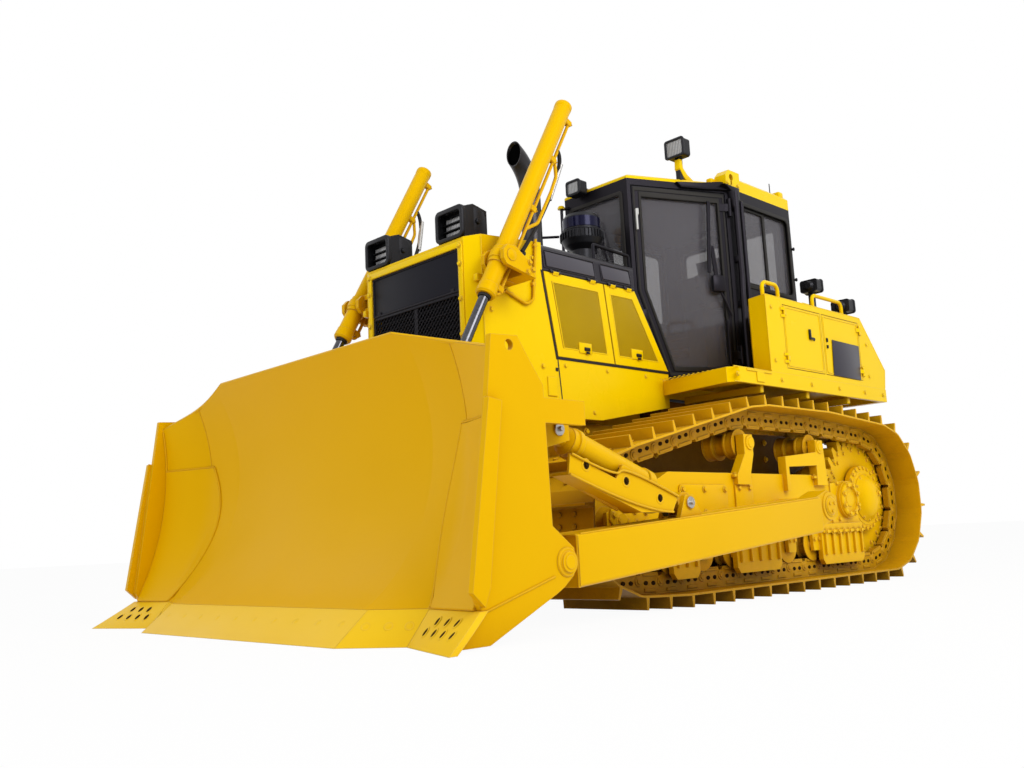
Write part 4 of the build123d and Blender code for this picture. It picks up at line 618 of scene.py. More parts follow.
def pipe(points, radius, bend=0.0, sides=3):
    """A tube through its points; with a bend, each corner is rounded by that much."""
    line = bpy.data.curves.new("pipe", "CURVE")
    line.dimensions = "3D"
    line.bevel_depth = radius
    line.bevel_resolution = sides
    line.use_fill_caps = True
    line.resolution_u = 6
    way = [Vector(point) for point in points]
    if bend:
        path = [way[0]]
        for before, corner, after in zip(way, way[1:], way[2:]):
            path += [corner + (before - corner).normalized() * bend, corner,
                     corner + (after - corner).normalized() * bend]
        path.append(way[-1])
    else:
        path = way
    spline = line.splines.new("NURBS" if len(path) > 2 else "POLY")
    spline.points.add(len(path) - 1)
    for point, place in zip(spline.points, path):
        point.co = (*place, 1)
    if len(path) > 2:
        spline.order_u = 3
        spline.use_endpoint_u = True
    piece = bpy.data.objects.new("pipe", line)
    bpy.context.collection.objects.link(piece)
    alone(piece)
    bpy.ops.object.convert(target="MESH")
    tidy_mesh(bpy.context.object)
    return bpy.context.object


def bead(points, radius=0.006, bend=0.0):
    """A weld bead."""
    return pipe(points, radius, bend, 1)


def arm_top(x):
    """The height of an arm's top plate, which falls towards the blade."""
    return 0.597 + (0.4355 - 0.597) / (1.762 + 0.525) * (x + 0.525)


trunnion_x, trunnion_z = -0.69, 0.54
pieces = []
# beads along the long seams, and round the ends
for y in (1.307, 1.493):
    pieces.append(bead([(-0.5, y, arm_top(-0.5) - 0.001), (1.74, y, arm_top(1.74) - 0.001)], 0.004))
pieces.append(bead([(1.762, 1.31, 0.19), (1.762, 1.31, 0.43), (1.762, 1.49, 0.43), (1.762, 1.49, 0.19)],
                   0.007, 0.02))
# cap and washer of the rear pivot
pieces.append(turned([(0, 0.008), (0.05, 0.008), (0.056, 0.002), (0.06, 0), (0, 0)], 24,
                     looking((trunnion_x, 1.477, trunnion_z), (0, 1, 0))))
pieces.append(turned([(0.066, 0), (0.066, 0.008), (0.088, 0.008), (0.092, 0), (0.066, 0)], 28,
                     looking((trunnion_x, 1.465, trunnion_z), (0, 1, 0))))
# ring and pin end in front, on the end plate
pieces.append(turned([(0, 0.004), (0.03, 0.004), (0.034, -0.003), (0.044, -0.002), (0.048, -0.012),
                      (0.06, -0.012), (0.066, -0.02), (0, -0.02)], 36,
                     looking((1.975, 1.641, 0.315), (0, 1, 0))))
fasten(joined(pieces), "arm_trim", "push_frame", arm_yellow, pair=True)
bolts = [looking((trunnion_x + 0.032 * cos(a), 1.485, trunnion_z + 0.032 * sin(a)), (0, 1, 0))
         for a in (0.5, 2.6, 4.7)]
fasten(repeated(bolt(0.018, washer=False), bolts), "arm_bolts", "push_frame", arm_yellow,
       pair=True)

# tilt cylinder: head ring, gland and nose, then its pin nuts and the guard's sunk bolts
tilt_foot, tilt_head = Vector((0.815, 1.385, 0.574)), Vector((1.815, 1.385, 0.925))
tilt_way = (tilt_head - tilt_foot).normalized()


def tilt_at(along):
    """A point on the tilt cylinder's axis, from its foot."""
    return tilt_foot + tilt_way * along


parts = [turned([(0.072, 0), (0.081, 0.003), (0.081, 0.032), (0.072, 0.036)], 32,
                looking(tilt_at(0.86), tilt_way)),
         turned([(0.072, 0), (0.08, 0.003), (0.08, 0.05), (0.073, 0.056), (0.05, 0.056)], 32,
                looking(tilt_at(0.345), -tilt_way)),
         turned([(0, 0.07), (0.072, 0.0), (0.072, -0.01)], 32, looking(tilt_at(0.925), tilt_way))]
# raised rims of the guard and its stiffening rib
parts.append(bead([(0.95, 1.489, 0.606), (1.385, 1.489, 0.762), (1.442, 1.489, 0.697),
                   (1.762, 1.489, 0.81)], 0.006))
parts.append(bead([(1.0, 1.489, 0.526), (1.253, 1.489, 0.53), (1.78, 1.489, 0.713)], 0.006))
fasten(joined(parts), "tilt_cylinder_trim", "push_frame", arm_yellow)
bare_steel, tree, shader = new_finish("bare_steel")
place = tree.node("ShaderNodeTexCoord", {}, {}, "Object")
grain = place.noise(90.0, 4)
grain.mix((0.26, 0.25, 0.24), (0.62, 0.6, 0.57)).feed(shader, "Base Color")
(0.22 + grain * 0.25).feed(shader, "Roughness")
shader.inputs["Metallic"].default_value = 1.0
nuts = [looking((pin.x, 1.47, pin.z), (0, 1, 0)) for pin in (tilt_head, tilt_foot)]
pin_nut = joined([turned([(0, 0.004), (0.03, 0.004), (0.033, 0), (0, 0)], 20),
                  turned([(0, 0.018), (0.011, 0.018), (0.013, 0.015), (0.013, 0.003), (0, 0.003)], 6)])
fasten(repeated(pin_nut, nuts), "tilt_pin_ends", "push_frame", bare_steel)
sunk = [looking((x, 1.482, z), (0, 1, 0)) for x, z in ((1.657, 0.757), (1.364, 0.683), (1.1, 0.598))]
rim = turned([(0.02, 0), (0.021, 0.003), (0.029, 0.003), (0.033, 0)], 20)
fasten(repeated(rim, sunk), "guard_bolt_rims", "push_frame", arm_yellow)
# each sunk bolt and its well are painted dark, as the shade in the recess
well = joined([turned([(0, 0.0012), (0.02, 0.0012), (0.021, 0), (0, 0)], 16), bolt(0.018, washer=False)])
fasten(repeated(well, sunk), "guard_bolts", "push_frame", hole_shade_and_joints)

rubber = paint("hose_rubber", (0.016, 0.015, 0.014), 0.6, (0.006, 0.006, 0.006), peel=0.4, edge=0.05,
               gleam=0.25)
hoses = [pipe([(1.3, 1.43, 0.6), (1.22, 1.44, 0.545), (1.12, 1.43, 0.535), (1.0, 1.42, 0.55),
               (0.9, 1.36, 0.52)], 0.016),
         pipe([(1.3, 1.4, 0.61), (1.2, 1.41, 0.56), (1.1, 1.4, 0.55), (0.99, 1.39, 0.565),
               (0.88, 1.34, 0.53)], 0.016)]
fasten(joined(hoses), "tilt_hoses", "push_frame", rubber)

# ---- blade -----------------------------------------------------------------------------------
# A rolled plate with raised wings and welded end plates.  Wear plates line the wings, and the
# cutting edge and end bits are bolted on, flush in front.
blade_yellow = paint("blade_yellow", (0.8, 0.45, 0.0), 0.36, (0.5, 0.23, 0.0), gleam=0.14, edge=0.25)
edge_yellow = paint("edge_yellow", (0.93, 0.6, 0.012), 0.36, (0.5, 0.22, 0.002), peel=0.08)
colour_node("blade", blade_yellow)
colour_node("cutting_edges", edge_yellow)
# y, then x of the face at the cutting edge's top, at mid height and at the top
face_stations = ((0.94, 2.571, 2.165, 2.33), (1.235, 2.456, 2.19, 2.33), (1.59, 2.505, 2.33, 2.4))
face_heights = (0.147, 0.74, 1.438)


def station_x(station, z):
    """The face on the arc through one station's three points."""
    (a, b, c), (p, q, r) = station[1:], face_heights
    d = 2 * (a * (q - r) + b * (r - p) + c * (p - q))
    aa, bb, cc = a * a + p * p, b * b + q * q, c * c + r * r
    x = (aa * (q - r) + bb * (r - p) + cc * (p - q)) / d
    y = (aa * (c - b) + bb * (a - c) + cc * (b - a)) / d
    return x - sqrt((a - x) ** 2 + (p - y) ** 2 - (z - y) ** 2)


def face_point(y, z, proud=0.0):
    """A point of the blade's face, a little in front of it."""
    inner, outer = face_stations[:2] if abs(y) < face_stations[1][0] else face_stations[1:]
    share = max(0.0, (abs(y) - inner[0]) / (outer[0] - inner[0]))
    return Vector((station_x(inner, z) * (1 - share) + station_x(outer, z) * share + proud, y, z))


def face_plate(inner_edge, outer_y, low, high, rows, columns, thickness):
    """A wear plate rolled to the face, between an inner edge and outer_y."""
    bpy.ops.object.select_all(action="DESELECT")
    bpy.ops.mesh.primitive_grid_add(x_subdivisions=columns, y_subdivisions=rows, size=1)
    piece = bpy.context.object
    for vertex in piece.data.vertices:
        across, up = vertex.co.x + 0.5, vertex.co.y + 0.5
        z = low + (high - low) * up
        y = inner_edge(z) + (outer_y - inner_edge(z)) * across
        vertex.co = face_point(y, z, thickness)
    skin = piece.modifiers.new("skin", "SOLIDIFY")
    skin.thickness = thickness * 1.5
    skin.offset = -1
    edge = piece.modifiers.new("edge", "BEVEL")
    edge.width = 0.004
    edge.segments = 1
    edge.limit_method = "ANGLE"
    edge.angle_limit = radians(60)
    alone(piece)
    for modifier in ("skin", "edge"):
        bpy.ops.object.modifier_apply(modifier=modifier)
    return piece


def seam_y(z):
    """The seam between the wing's two wear plates, bowed towards the middle."""
    return 1.262 - 0.132 * sin(pi * min(1.0, (z - 0.155) / 0.85)) - 0.05 * (z - 0.155)


wing_plate = face_plate(seam_y, 1.588, 0.152, 0.965, 18, 8, 0.009)
tidy_mesh(wing_plate)
fasten(wing_plate, "wing_wear_plates", "push_frame", blade_yellow, pair=True)
seam_heights = [0.155 + 0.81 * i / 12 for i in range(13)]
seam_end = seam_y(0.965)
trim = [bead([face_point(seam_y(z) - 0.004, z, 0.003) for z in seam_heights], 0.006),
        bead([face_point(seam_end + (1.585 - seam_end) * i / 6, 0.969, 0.003) for i in range(7)], 0.005),
        # fold line above the wear plates, and the bead down the corner with the end plate
        bead([face_point(1.235, z, 0.0) for z in [0.98 + 0.36 * i / 6 for i in range(7)]], 0.003),
        bead([face_point(1.586, z, 0.002) for z in [0.16 + 1.06 * i / 12 for i in range(13)]], 0.006),
        # bead round the end plate's lower edge and the wear bar
        bead([(2.058, 1.6215, 0.257), (2.475, 1.6215, 0.14)], 0.005),
        bead([(2.353, 1.622, 1.001), (2.462, 1.622, 0.235), (2.494, 1.622, 0.162)], 0.006),
        bead([(2.353, 1.622, 1.001), (2.43, 1.622, 1.013)], 0.006)]
fasten(joined(trim), "blade_beads", "push_frame", blade_yellow, pair=True)
# a bar along the top edge, and the back's stiffeners between the beams
stiffeners = []
for y0, z0, y1, z1 in ((-0.855, 1.438, 0.855, 1.438), (0.855, 1.438, 1.585, 1.244),
                       (-0.855, 1.438, -1.585, 1.244)):
    points = []
    for i in range(6):
        y, z = y0 + (y1 - y0) * i / 5, z0 + (z1 - z0) * i / 5
        points.append(face_point(y, min(z, 1.438), -0.014))
    stiffeners.append(bead(points, 0.011))
for y in (1.05, 1.3, -1.05, -1.3):
    x = face_point(y, 0.85).x - 0.03
    stiffeners.append(plate([[(x, 0.55), (x, 1.14), (x - 0.11, 1.13), (x - 0.16, 0.56)]], 0.022, standing(y)))
for y in (0.7, -0.7):
    stiffeners.append(bead([(2.14, y + 0.09, 0.86), (2.135, y + 0.09, 1.05)], 0.007))
fasten(joined(stiffeners), "blade_stiffeners", "push_frame", blade_yellow)

# plough bolts: y, x on the ground and x at the edge's top
edge_line = ((0.0, 2.75, 2.571), (0.961, 2.75, 2.571), (1.25, 2.585, 2.456), (1.705, 2.741, 2.516))
edge_height = face_heights[0]


def edge_place(y, up, turn=0.0):
    """A place on the face of the cutting edge, facing out of it."""
    for inner, outer in zip(edge_line, edge_line[1:]):
        if abs(y) <= outer[0]:
            break
    share = (abs(y) - inner[0]) / (outer[0] - inner[0]) if inner[0] else 0.0
    ground, top = (inner[i] + (outer[i] - inner[i]) * share for i in (1, 2))
    slant = (outer[1] - inner[1]) / (outer[0] - inner[0]) * (1 if y > 0 else -1)
    normal = Vector((edge_height, -edge_height * slant, ground - top))
    return looking((ground + (top - ground) * up, y, edge_height * up), normal.normalized(), turn)


middle = [edge_place(-0.86 + 1.72 * i / 9, 0.62) for i in range(10)]
sides = [edge_place(s * y, 0.55) for s in (1, -1) for y in (1.02, 1.12, 1.21)]
faint = turned([(0, 0.001), (0.011, 0.0012), (0.013, 0.0004), (0.016, 0.0014), (0.019, 0)], 14)
fasten(repeated(faint, middle), "edge_bolts", "push_frame", edge_yellow)
round_bolt = turned([(0, 0.0025), (0.012, 0.0025), (0.016, 0.0012), (0.02, 0.0025), (0.024, 0)], 18)
fasten(repeated(round_bolt, sides), "side_edge_bolts", "push_frame", edge_yellow)
holes = [(1.34, 0.42), (1.42, 0.42), (1.5, 0.42), (1.58, 0.42), (1.38, 0.7), (1.46, 0.7), (1.54, 0.7)]
hole_at = [edge_place(s * y, up, s * 0.35) for s in (1, -1) for y, up in holes]
collar = turned([(0.0155, 0.0), (0.016, 0.0025), (0.021, 0.0025), (0.0235, 0)], 18)
oval = turned([(0, 0.0012), (0.0155, 0.0012), (0.0165, 0)], 18)
for shape in (collar, oval):
    shape.scale = (0.82, 1.35, 1)
    alone(shape)
    bpy.ops.object.transform_apply(scale=True)
fasten(repeated(collar, hole_at), "end_bit_rims", "push_frame", edge_yellow)
# the holes in the end bits are dark ovals: painted shade inside them
fasten(repeated(oval, hole_at), "end_bit_holes", "push_frame", hole_shade_and_joints)
back_bolts = [looking((2.42, y, 0.12), (-1, 0, -0.6)) for y in [-0.86 + 1.72 * i / 9 for i in range(10)]]
fasten(repeated(bolt(0.03), back_bolts), "edge_nuts", "push_frame", edge_yellow)

# ---- lift cylinders --------------------------------------------------------------------------
# Painted barrels with chromed rods.  The oil reaches the foot of each barrel through a pipe
# clamped along its back, from hoses that come out of the hood.
colour_node("lift_barrel_left lift_barrel_right lift_yokes", arm_yellow)
bright_rod, tree, shader = new_finish("bright_rod")
place = tree.node("ShaderNodeTexCoord", {}, {}, "Object")
streak = place.noise(60.0, 3)
streak.mix((0.045, 0.045, 0.05), (0.13, 0.13, 0.145)).feed(shader, "Base Color")
(0.1 + streak * 0.1).feed(shader, "Roughness")
shader.inputs["Metallic"].default_value = 1.0
colour_node("lift_rod_left lift_rod_right", bright_rod)

yoke, rod_eye = Vector((1.406, 0, 2.012)), Vector((1.99, 0, 0.972))
rod_way = (rod_eye - yoke).normalized()
behind = Vector((rod_way.z, 0, -rod_way.x))          # square to the rod, towards the cab


def beside(along, back, y):
    """A point measured along the barrel from its pin, and out behind it."""
    return yoke + rod_way * along + behind * back + Vector((0, y, 0))


clamp_at = (-1.19, -0.86, -0.45, -0.12, 0.17)
for side, name in ((1, "left"), (-1, "right")):
    y = 0.7 * side
    body = f"lift_barrel_{name}"
    parts = [turned([(0, 0.002), (0.042, 0.002), (0.045, 0.007), (0.053, 0.005), (0.056, 0.0),
                     (0.056, -0.03), (0.054, -0.034)], 32, looking(beside(-1.266, 0, y), -rod_way)),
             turned([(0.0635, -0.03), (0.068, -0.026), (0.068, 0.026), (0.0635, 0.03)], 32,
                    looking(beside(0, 0, y), rod_way)),
             turned([(0.034, 0.013), (0.05, 0.013), (0.055, 0.006), (0.06, 0.0), (0.06, -0.03)], 32,
                    looking(beside(0.26, 0, y), rod_way))]
    # pipe from the port at the top, down the back of the barrel to the foot
    parts.append(pipe([beside(-1.19, 0.04, y), beside(-1.19, 0.085, y), beside(-0.6, 0.085, y),
                       beside(0.1, 0.085, y), beside(0.2, 0.085, y), beside(0.22, 0.045, y)], 0.011, 0.03))
    parts.append(pipe([beside(-0.86, 0.1, y), beside(-0.78, 0.15, y), beside(-0.66, 0.155, y),
                       beside(-0.4, 0.15, y), beside(-0.3, 0.085, y)], 0.011, 0.04))
    for along in clamp_at:
        parts.append(block((0.034, 0.04, 0.05), looking(beside(along, 0.075, y), rod_way)
                           @ Matrix.Rotation(pi / 2, 4, "X"), 0.005))
    fasten(joined(parts), f"{body}_pipes", body, arm_yellow)
    clamps = [looking(beside(along, 0.1, y + dy), behind) for along in clamp_at for dy in (-0.012, 0.012)]
    fasten(repeated(bolt(0.013, washer=False), clamps), f"{body}_bolts", body, arm_yellow)
    fasten(turned([(0.0305, 0.016), (0.034, 0.018), (0.038, 0.012), (0.038, 0), (0.0305, 0)], 28,
                  looking(beside(0.273, 0, y), rod_way)), f"{body}_wiper", body, rubber)
    # a hose in its bright sleeve bows out behind the barrel, down to the gland on the hood's side
    hose = pipe([beside(-0.95, 0.085, y), beside(-0.93, 0.14, y), beside(-0.7, 0.2, y - 0.05 * side),
                 beside(-0.36, 0.2, y - 0.08 * side), beside(-0.24, 0.19, y - 0.1 * side)], 0.013)
    fasten(hose, f"{body}_hose", body, rubber)
    fasten(pipe([beside(-0.9, 0.152, y - 0.01 * side), beside(-0.8, 0.175, y - 0.03 * side),
                 beside(-0.66, 0.203, y - 0.055 * side)], 0.0165),
           f"{body}_sleeve", body, bare_steel)
# pin caps and bolts on the yokes, and the glands that the hoses go into
ends = [looking((yoke.x, s * 0.797, yoke.z), (0, s, 0)) for s in (1, -1)]
pin_cap = turned([(0, 0.008), (0.02, 0.008), (0.026, 0.004), (0.034, 0.004), (0.037, 0), (0, 0)], 24)
fasten(repeated(pin_cap, ends), "yoke_pin_caps", "tractor", arm_yellow)
yoke_bolts = [looking((x, s * 0.797, z), (0, s, 0)) for s in (1, -1)
              for x, z in ((1.28, 1.93), (1.24, 1.95), (1.262, 1.99))]
yoke_bolts += [looking((x, s * 0.562, z), (0, s, 0)) for s in (1, -1)
               for x, z in ((1.19, 1.86), (1.36, 1.86))]
glands = [looking((1.118, s * 0.56, 2.11), (0, s, 0.2)) for s in (1, -1)]
gland = turned([(0, 0.05), (0.018, 0.05), (0.02, 0.03), (0.03, 0.028), (0.032, 0.01), (0.045, 0.008),
                (0.045, -0.01), (0, -0.01)], 16)
fasten(repeated(gland, glands), "hose_glands", "tractor", rubber)
fasten(repeated(bolt(0.022), yoke_bolts), "yoke_bolts", "tractor", arm_yellow)
side_pipes = [pipe([(1.257, 0.575, 1.876), (1.08, 0.575, 1.816), (1.02, 0.575, 1.85),
                    (0.975, 0.575, 2.24)], 0.009, 0.04),
              block((0.03, 0.024, 0.02), (1.01, 0.57, 1.95), 0.003),
              block((0.03, 0.024, 0.02), (0.98, 0.57, 2.2), 0.003)]
fasten(joined(side_pipes), "lift_pipes", "tractor", arm_yellow, pair=True)

# ---- radiator guard and grille ---------------------------------------------------------------
# The yellow nose housing is welded plate with rolled front edges.  In it sits the black grille:
# a blank board over a diagonal guard mesh, with louvres behind.
body_yellow = paint("body_yellow", (0.98, 0.67, 0.0), 0.28, (0.55, 0.26, 0.001), gleam=0.25)
black_steel = paint("black_steel", (0.009, 0.0085, 0.0105), 0.45, (0.003, 0.003, 0.004), edge=0.06,
                    gleam=0.15)
colour_node("radiator_guard side_panels", body_yellow)
colour_node("grille", black_steel)

pieces = [plate([oblong(0, 1.999, 0.846, 0.262, 0.012), oblong(0, 1.999, 0.82, 0.236, 0.01)], 0.012,
                facing(1.475))]
for y in (-0.36, 0.36):
    pieces.append(block((0.012, 0.03, 0.03), (1.476, y, 1.885), 0.003))
fasten(joined(pieces), "board_rim", "tractor", black_steel)
blank_board = paint("board_blank", (0.008, 0.008, 0.011), 0.4, (0.005, 0.005, 0.006), peel=0.02,
                    edge=0.05, gleam=0.12)
fasten(plate([oblong(0, 1.999, 0.824, 0.24, 0.012)], 0.006, facing(1.473), 0.0015), "board_face", "tractor",
       blank_board)

# the guard mesh: two layers of flat bars at 45 degrees, each bar cut to its frame
mesh_low, mesh_high, mesh_half, mesh_step = 1.2, 1.855, 0.412, 0.034
mesh_height = mesh_high - mesh_low
strips = []
for lean in (1, -1):
    offset = -mesh_half - mesh_height
    while offset < mesh_half:
        start, end = max(0.0, -mesh_half - offset), min(mesh_height, mesh_half - offset)
        if end - start > 0.02:
            middle = (start + end) / 2
            place = (Matrix.Translation((1.466 + 0.0028 * lean, lean * (offset + middle), mesh_low + middle))
                     @ Matrix.Rotation(pi / 2 - lean * pi / 4, 4, "X"))
            strips.append(block((0.005, (end - start) * sqrt(2), 0.006), place, 0.001))
        offset += mesh_step
rim = plate([oblong(0, 1.5275, 0.85, 0.68, 0.01), oblong(0, 1.5275, 0.815, 0.645, 0.008)], 0.02,
            facing(1.468))
fasten(joined(strips + [rim]), "grille_mesh", "tractor", black_steel)

# seams, latches and bolts of the guard; the rolled lip round the grille
pieces = [plate([oblong(0, 1.655, 0.93, 1.03, 0.03), oblong(0, 1.655, 0.854, 0.95, 0.012)], 0.014,
                facing(1.484), 0.005)]
pieces.append(bead([(1.42, 0.5615, 1.14), (1.42, 0.5615, 2.19)], 0.004))
pieces.append(bead([(1.42, -0.5615, 1.14), (1.42, -0.5615, 2.19)], 0.004))
for s in (1, -1):
    pieces.append(block((0.05, 0.035, 0.045), (1.44, 0.545 * s, 1.93), 0.008, 2))
    pieces.append(block((0.08, 0.014, 0.12), (0.88, 0.562 * s, 1.33), 0.004))
fasten(joined(pieces), "guard_trim", "tractor", body_yellow)
bolts = [looking((1.492, s * 0.445, z), (1, 0, 0)) for s in (1, -1)
         for z in (1.19, 1.4, 1.61, 1.82, 2.03, 2.14)]
bolts += [looking((x, s * 0.56, z), (0, s, 0)) for s in (1, -1)
          for x, z in ((1.36, 1.2), (1.36, 1.5), (1.36, 1.75), (1.0, 1.25), (1.15, 1.25), (0.95, 1.45),
                       (1.12, 1.98), (1.26, 2.13), (1.0, 2.12))]
fasten(repeated(bolt(0.022), bolts), "guard_bolts_front", "tractor", body_yellow)

# ---- lamps -----------------------------------------------------------------------------------
# Black die-cast work lamps: two hooded ones on the nose, the others square or round on
# posts.  Each has a grey reflector behind its lens.
black_plastic = paint("black_plastic", (0.008, 0.008, 0.009), 0.38, (0.003, 0.003, 0.004), peel=0.2,
                      edge=0.06, gleam=0.25)
colour_node("work_lamps", black_plastic)
lens, tree, shader = new_finish("lamp_lens")
place = tree.node("ShaderNodeTexCoord", {}, {}, "Object")
ribs = tree.node("ShaderNodeTexWave", {"bands_direction": "Y"},
                 {"Vector": place, "Scale": 22.0, "Distortion": 0.4})
ribs.mix((0.13, 0.13, 0.14), (0.42, 0.42, 0.42)).feed(shader, "Base Color")
ribs.emboss(shader, 0.5, 0.002)
shader.inputs["Roughness"].default_value = 0.12
shader.inputs["Coat Weight"].default_value = 1.0
hoods, lights = [], []
for y in (0.36, -0.36):
    # the hood's rim and its visor, rounded at the top
    hoods.append(plate([oblong(y, 2.293, 0.25, 0.2, 0.035), oblong(y, 2.29, 0.2, 0.148, 0.02)], 0.03,
                       facing(1.478), 0.005))
    hoods.append(plate([[(1.285, 2.215), (1.28, 2.33), (1.3, 2.385), (1.35, 2.408), (1.415, 2.405),
                         (1.415, 2.215)]], 0.248, standing(y), 0.03))
    for s in (1, -1):
        hoods.append(turned([(0, 0.012), (0.014, 0.012), (0.018, 0), (0, 0)], 14,
                            looking((1.37, y + s * 0.128, 2.3), (0, s, 0))))
    for i in range(3):
        lights.append(block((0.012, 0.168, 0.026), (1.432, y, 2.248 + 0.042 * i), 0.005, 2))
    for i in range(2):
        hoods.append(block((0.03, 0.19, 0.006), (1.436, y, 2.269 + 0.042 * i), 0.0015))
fasten(joined(hoods), "nose_lamp_hoods", "tractor", black_plastic)
fasten(joined(lights), "nose_lamp_lights", "tractor", lens)
# x, y, z of each lens, its width and height, and which way it faces
lamp_lenses = ((-0.716, 0.47, 3.3, 0.165, 0.14, 1), (-0.194, -0.115, 3.043, 0.13, 0.11, 1),
               (-1.891, 1.12, 2.08, 0.15, 0.1, -1), (-1.938, 0.85, 2.31, 0.15, 0.1, -1),
               (-1.891, -1.12, 2.08, 0.15, 0.1, -1))
for number, (x, y, z, width, height, way) in enumerate(lamp_lenses):
    rim = plate([oblong(y, z, width + 0.012, height + 0.012, 0.022),
                 oblong(y, z, width - 0.026, height - 0.026, 0.012)], 0.018, facing(x + way * 0.004), 0.004)
    back = turned([(0, 0.02), (0.026, 0.02), (0.04, 0.008), (0.045, 0), (0, 0)], 18,
                  looking((x - way * 0.079, y, z), (-way, 0, 0)))
    fasten(joined([rim, back]), f"lamp_rim_{number + 1}", "tractor", black_plastic)
    fasten(plate([oblong(y, z, width - 0.024, height - 0.024, 0.012)], 0.008, facing(x + way * 0.002), 0.002),
           f"lamp_lens_{number + 1}", "tractor", lens)

# ---- hood and engine doors -------------------------------------------------------------------
# A black moulded upper hood over four hinged doors.  Each door is a pressed yellow frame round a
# perforated panel, held at its foot by a latch.
black_paint = paint("black_paint", (0.012, 0.011, 0.0135), 0.34, (0.005, 0.004, 0.006), edge=0.08, gleam=0.35)
colour_node("hood_top", black_paint)
hood_side = 0.5615
colour_node("engine_door_left_front engine_door_left_rear engine_door_right_front engine_door_right_rear",
            body_yellow)
panel_grey = paint("panel_grey", (0.055, 0.052, 0.062), 0.3, (0.03, 0.03, 0.036), edge=0.1, gleam=0.5)
shapes = [plate([[(0.875, 2.088), (0.425, 2.09), (0.44, 2.178), (0.89, 2.182)]], 0.008, standing(0.563)),
          plate([[(0.34, 2.09), (0.055, 2.092), (0.075, 2.178), (0.36, 2.178)]], 0.008, standing(0.563))]
fasten(joined(shapes), "hood_panels", "tractor", panel_grey, pair=True)
rims = [bead([(0.897, hood_side, 2.08), (0.415, hood_side, 2.08), (0.43, hood_side, 2.19),
              (0.905, hood_side, 2.19), (0.897, hood_side, 2.08)], 0.004, 0.02),
        bead([(0.35, hood_side, 2.08), (0.04, hood_side, 2.08), (0.065, hood_side, 2.19),
              (0.365, hood_side, 2.19), (0.35, hood_side, 2.08)], 0.004, 0.02),
        bead([(0.91, 0.3, 2.2365), (-0.15, 0.3, 2.2365)], 0.003)]
fasten(joined(rims), "hood_beads", "tractor", black_paint, pair=True)
caps = [turned([(0, 0.03), (0.045, 0.03), (0.055, 0.022), (0.057, 0.004), (0.066, 0), (0, 0)], 24,
               looking((0.72, -0.22, 2.234), (0, 0, 1))),
        block((0.12, 0.03, 0.022), (0.25, -0.3, 2.244), 0.006, 2)]
fasten(joined(caps), "filler_cap", "tractor", black_paint)

mustard, tree, shader = new_finish("perforated_panel")
place = tree.node("ShaderNodeTexCoord", {}, {}, "Object")
xs = tree.node("ShaderNodeSeparateXYZ", {}, {0: place}, 0)
zs = tree.node("ShaderNodeSeparateXYZ", {}, {0: place}, 2)
# the holes are painted dark brown, as the shade behind the panel
holes = tree.math("GREATER_THAN", tree.math("SINE", xs * 1050.0) * tree.math("SINE", zs * 1050.0), 0.22)
cloud = place.noise(3.0, 3)
holes.mix(cloud.mix((0.62, 0.4, 0.0), (0.5, 0.31, 0.0)), (0.12, 0.075, 0.002)).feed(shader, "Base Color")
(1.0 - holes).emboss(shader, 0.4, 0.0015)
(0.4 + cloud * 0.2).feed(shader, "Roughness")
shader.inputs["Specular Tint"].default_value = (1, 0.7, 0.1, 1)

# corners of each perforated panel in x and z, and the middle of its latch
door_sheets = (("front", [(0.826, 1.997), (0.752, 1.582), (0.336, 1.582), (0.391, 1.997)], (0.555, 1.6)),
               ("rear", [(0.276, 1.997), (0.22, 1.582), (-0.205, 1.582), (0.042, 1.997)], (0.03, 1.612)))
for side, s in (("left", 1), ("right", -1)):
    for end, outline, (latch_x, latch_z) in door_sheets:
        body = f"engine_door_{side}_{end}"
        fasten(plate([outline], 0.004, standing(s * 0.5565), 0.001), f"{body}_panel", body,
               mustard)
        centre = sum((Vector(corner) for corner in outline), Vector((0, 0))) / 4
        ring = [[tuple(centre + (Vector(corner) - centre) * grow) for corner in outline]
                for grow in (1.02, 0.975)]
        parts = [plate(ring, 0.009, standing(s * 0.5575), 0.003)]
        parts.append(block((0.12, 0.012, 0.07), (latch_x, s * 0.56, latch_z), 0.004, 2))
        fasten(joined(parts), f"{body}_frame", body, body_yellow)
        handle = [block((0.052, 0.012, 0.022), (latch_x - 0.012, s * 0.568, latch_z - 0.006), 0.004, 2),
                  block((0.03, 0.01, 0.014), (latch_x - 0.012, s * 0.573, latch_z - 0.03), 0.003)]
        fasten(joined(handle), f"{body}_latch", body, black_plastic)
# screws and a dark seam along the fixed panel under the doors
screws = [looking((x, 0.5605, z), (0, 1, 0)) for x, z in ((0.75, 1.47), (0.35, 1.47), (-0.05, 1.47),
                                                          (0.72, 1.19), (0.5, 1.19), (-0.25, 1.45))]
fasten(repeated(bolt(0.018), screws), "side_panel_bolts", "tractor", body_yellow, pair=True)
seals = [plate([[(0.93, 2.058), (0.915, 2.058), (0.815, 1.512), (0.815, 1.505), (0.83, 1.505)]], 0.004,
               standing(hood_side), 0.001),
         plate([[(0.815, 1.505), (0.815, 1.521), (-0.306, 1.521), (-0.306, 1.505)]], 0.004,
               standing(hood_side), 0.001),
         plate([[(0.82, 1.505), (0.812, 1.505), (0.79, 1.24), (0.76, 1.15), (0.768, 1.15), (0.798, 1.24)]],
               0.003, standing(0.561), 0.001),
         block((0.022, 0.004, 0.022), (0.83, 0.561, 1.44), 0.001)]
fasten(joined(seals), "door_seals", "tractor", rubber, pair=True)

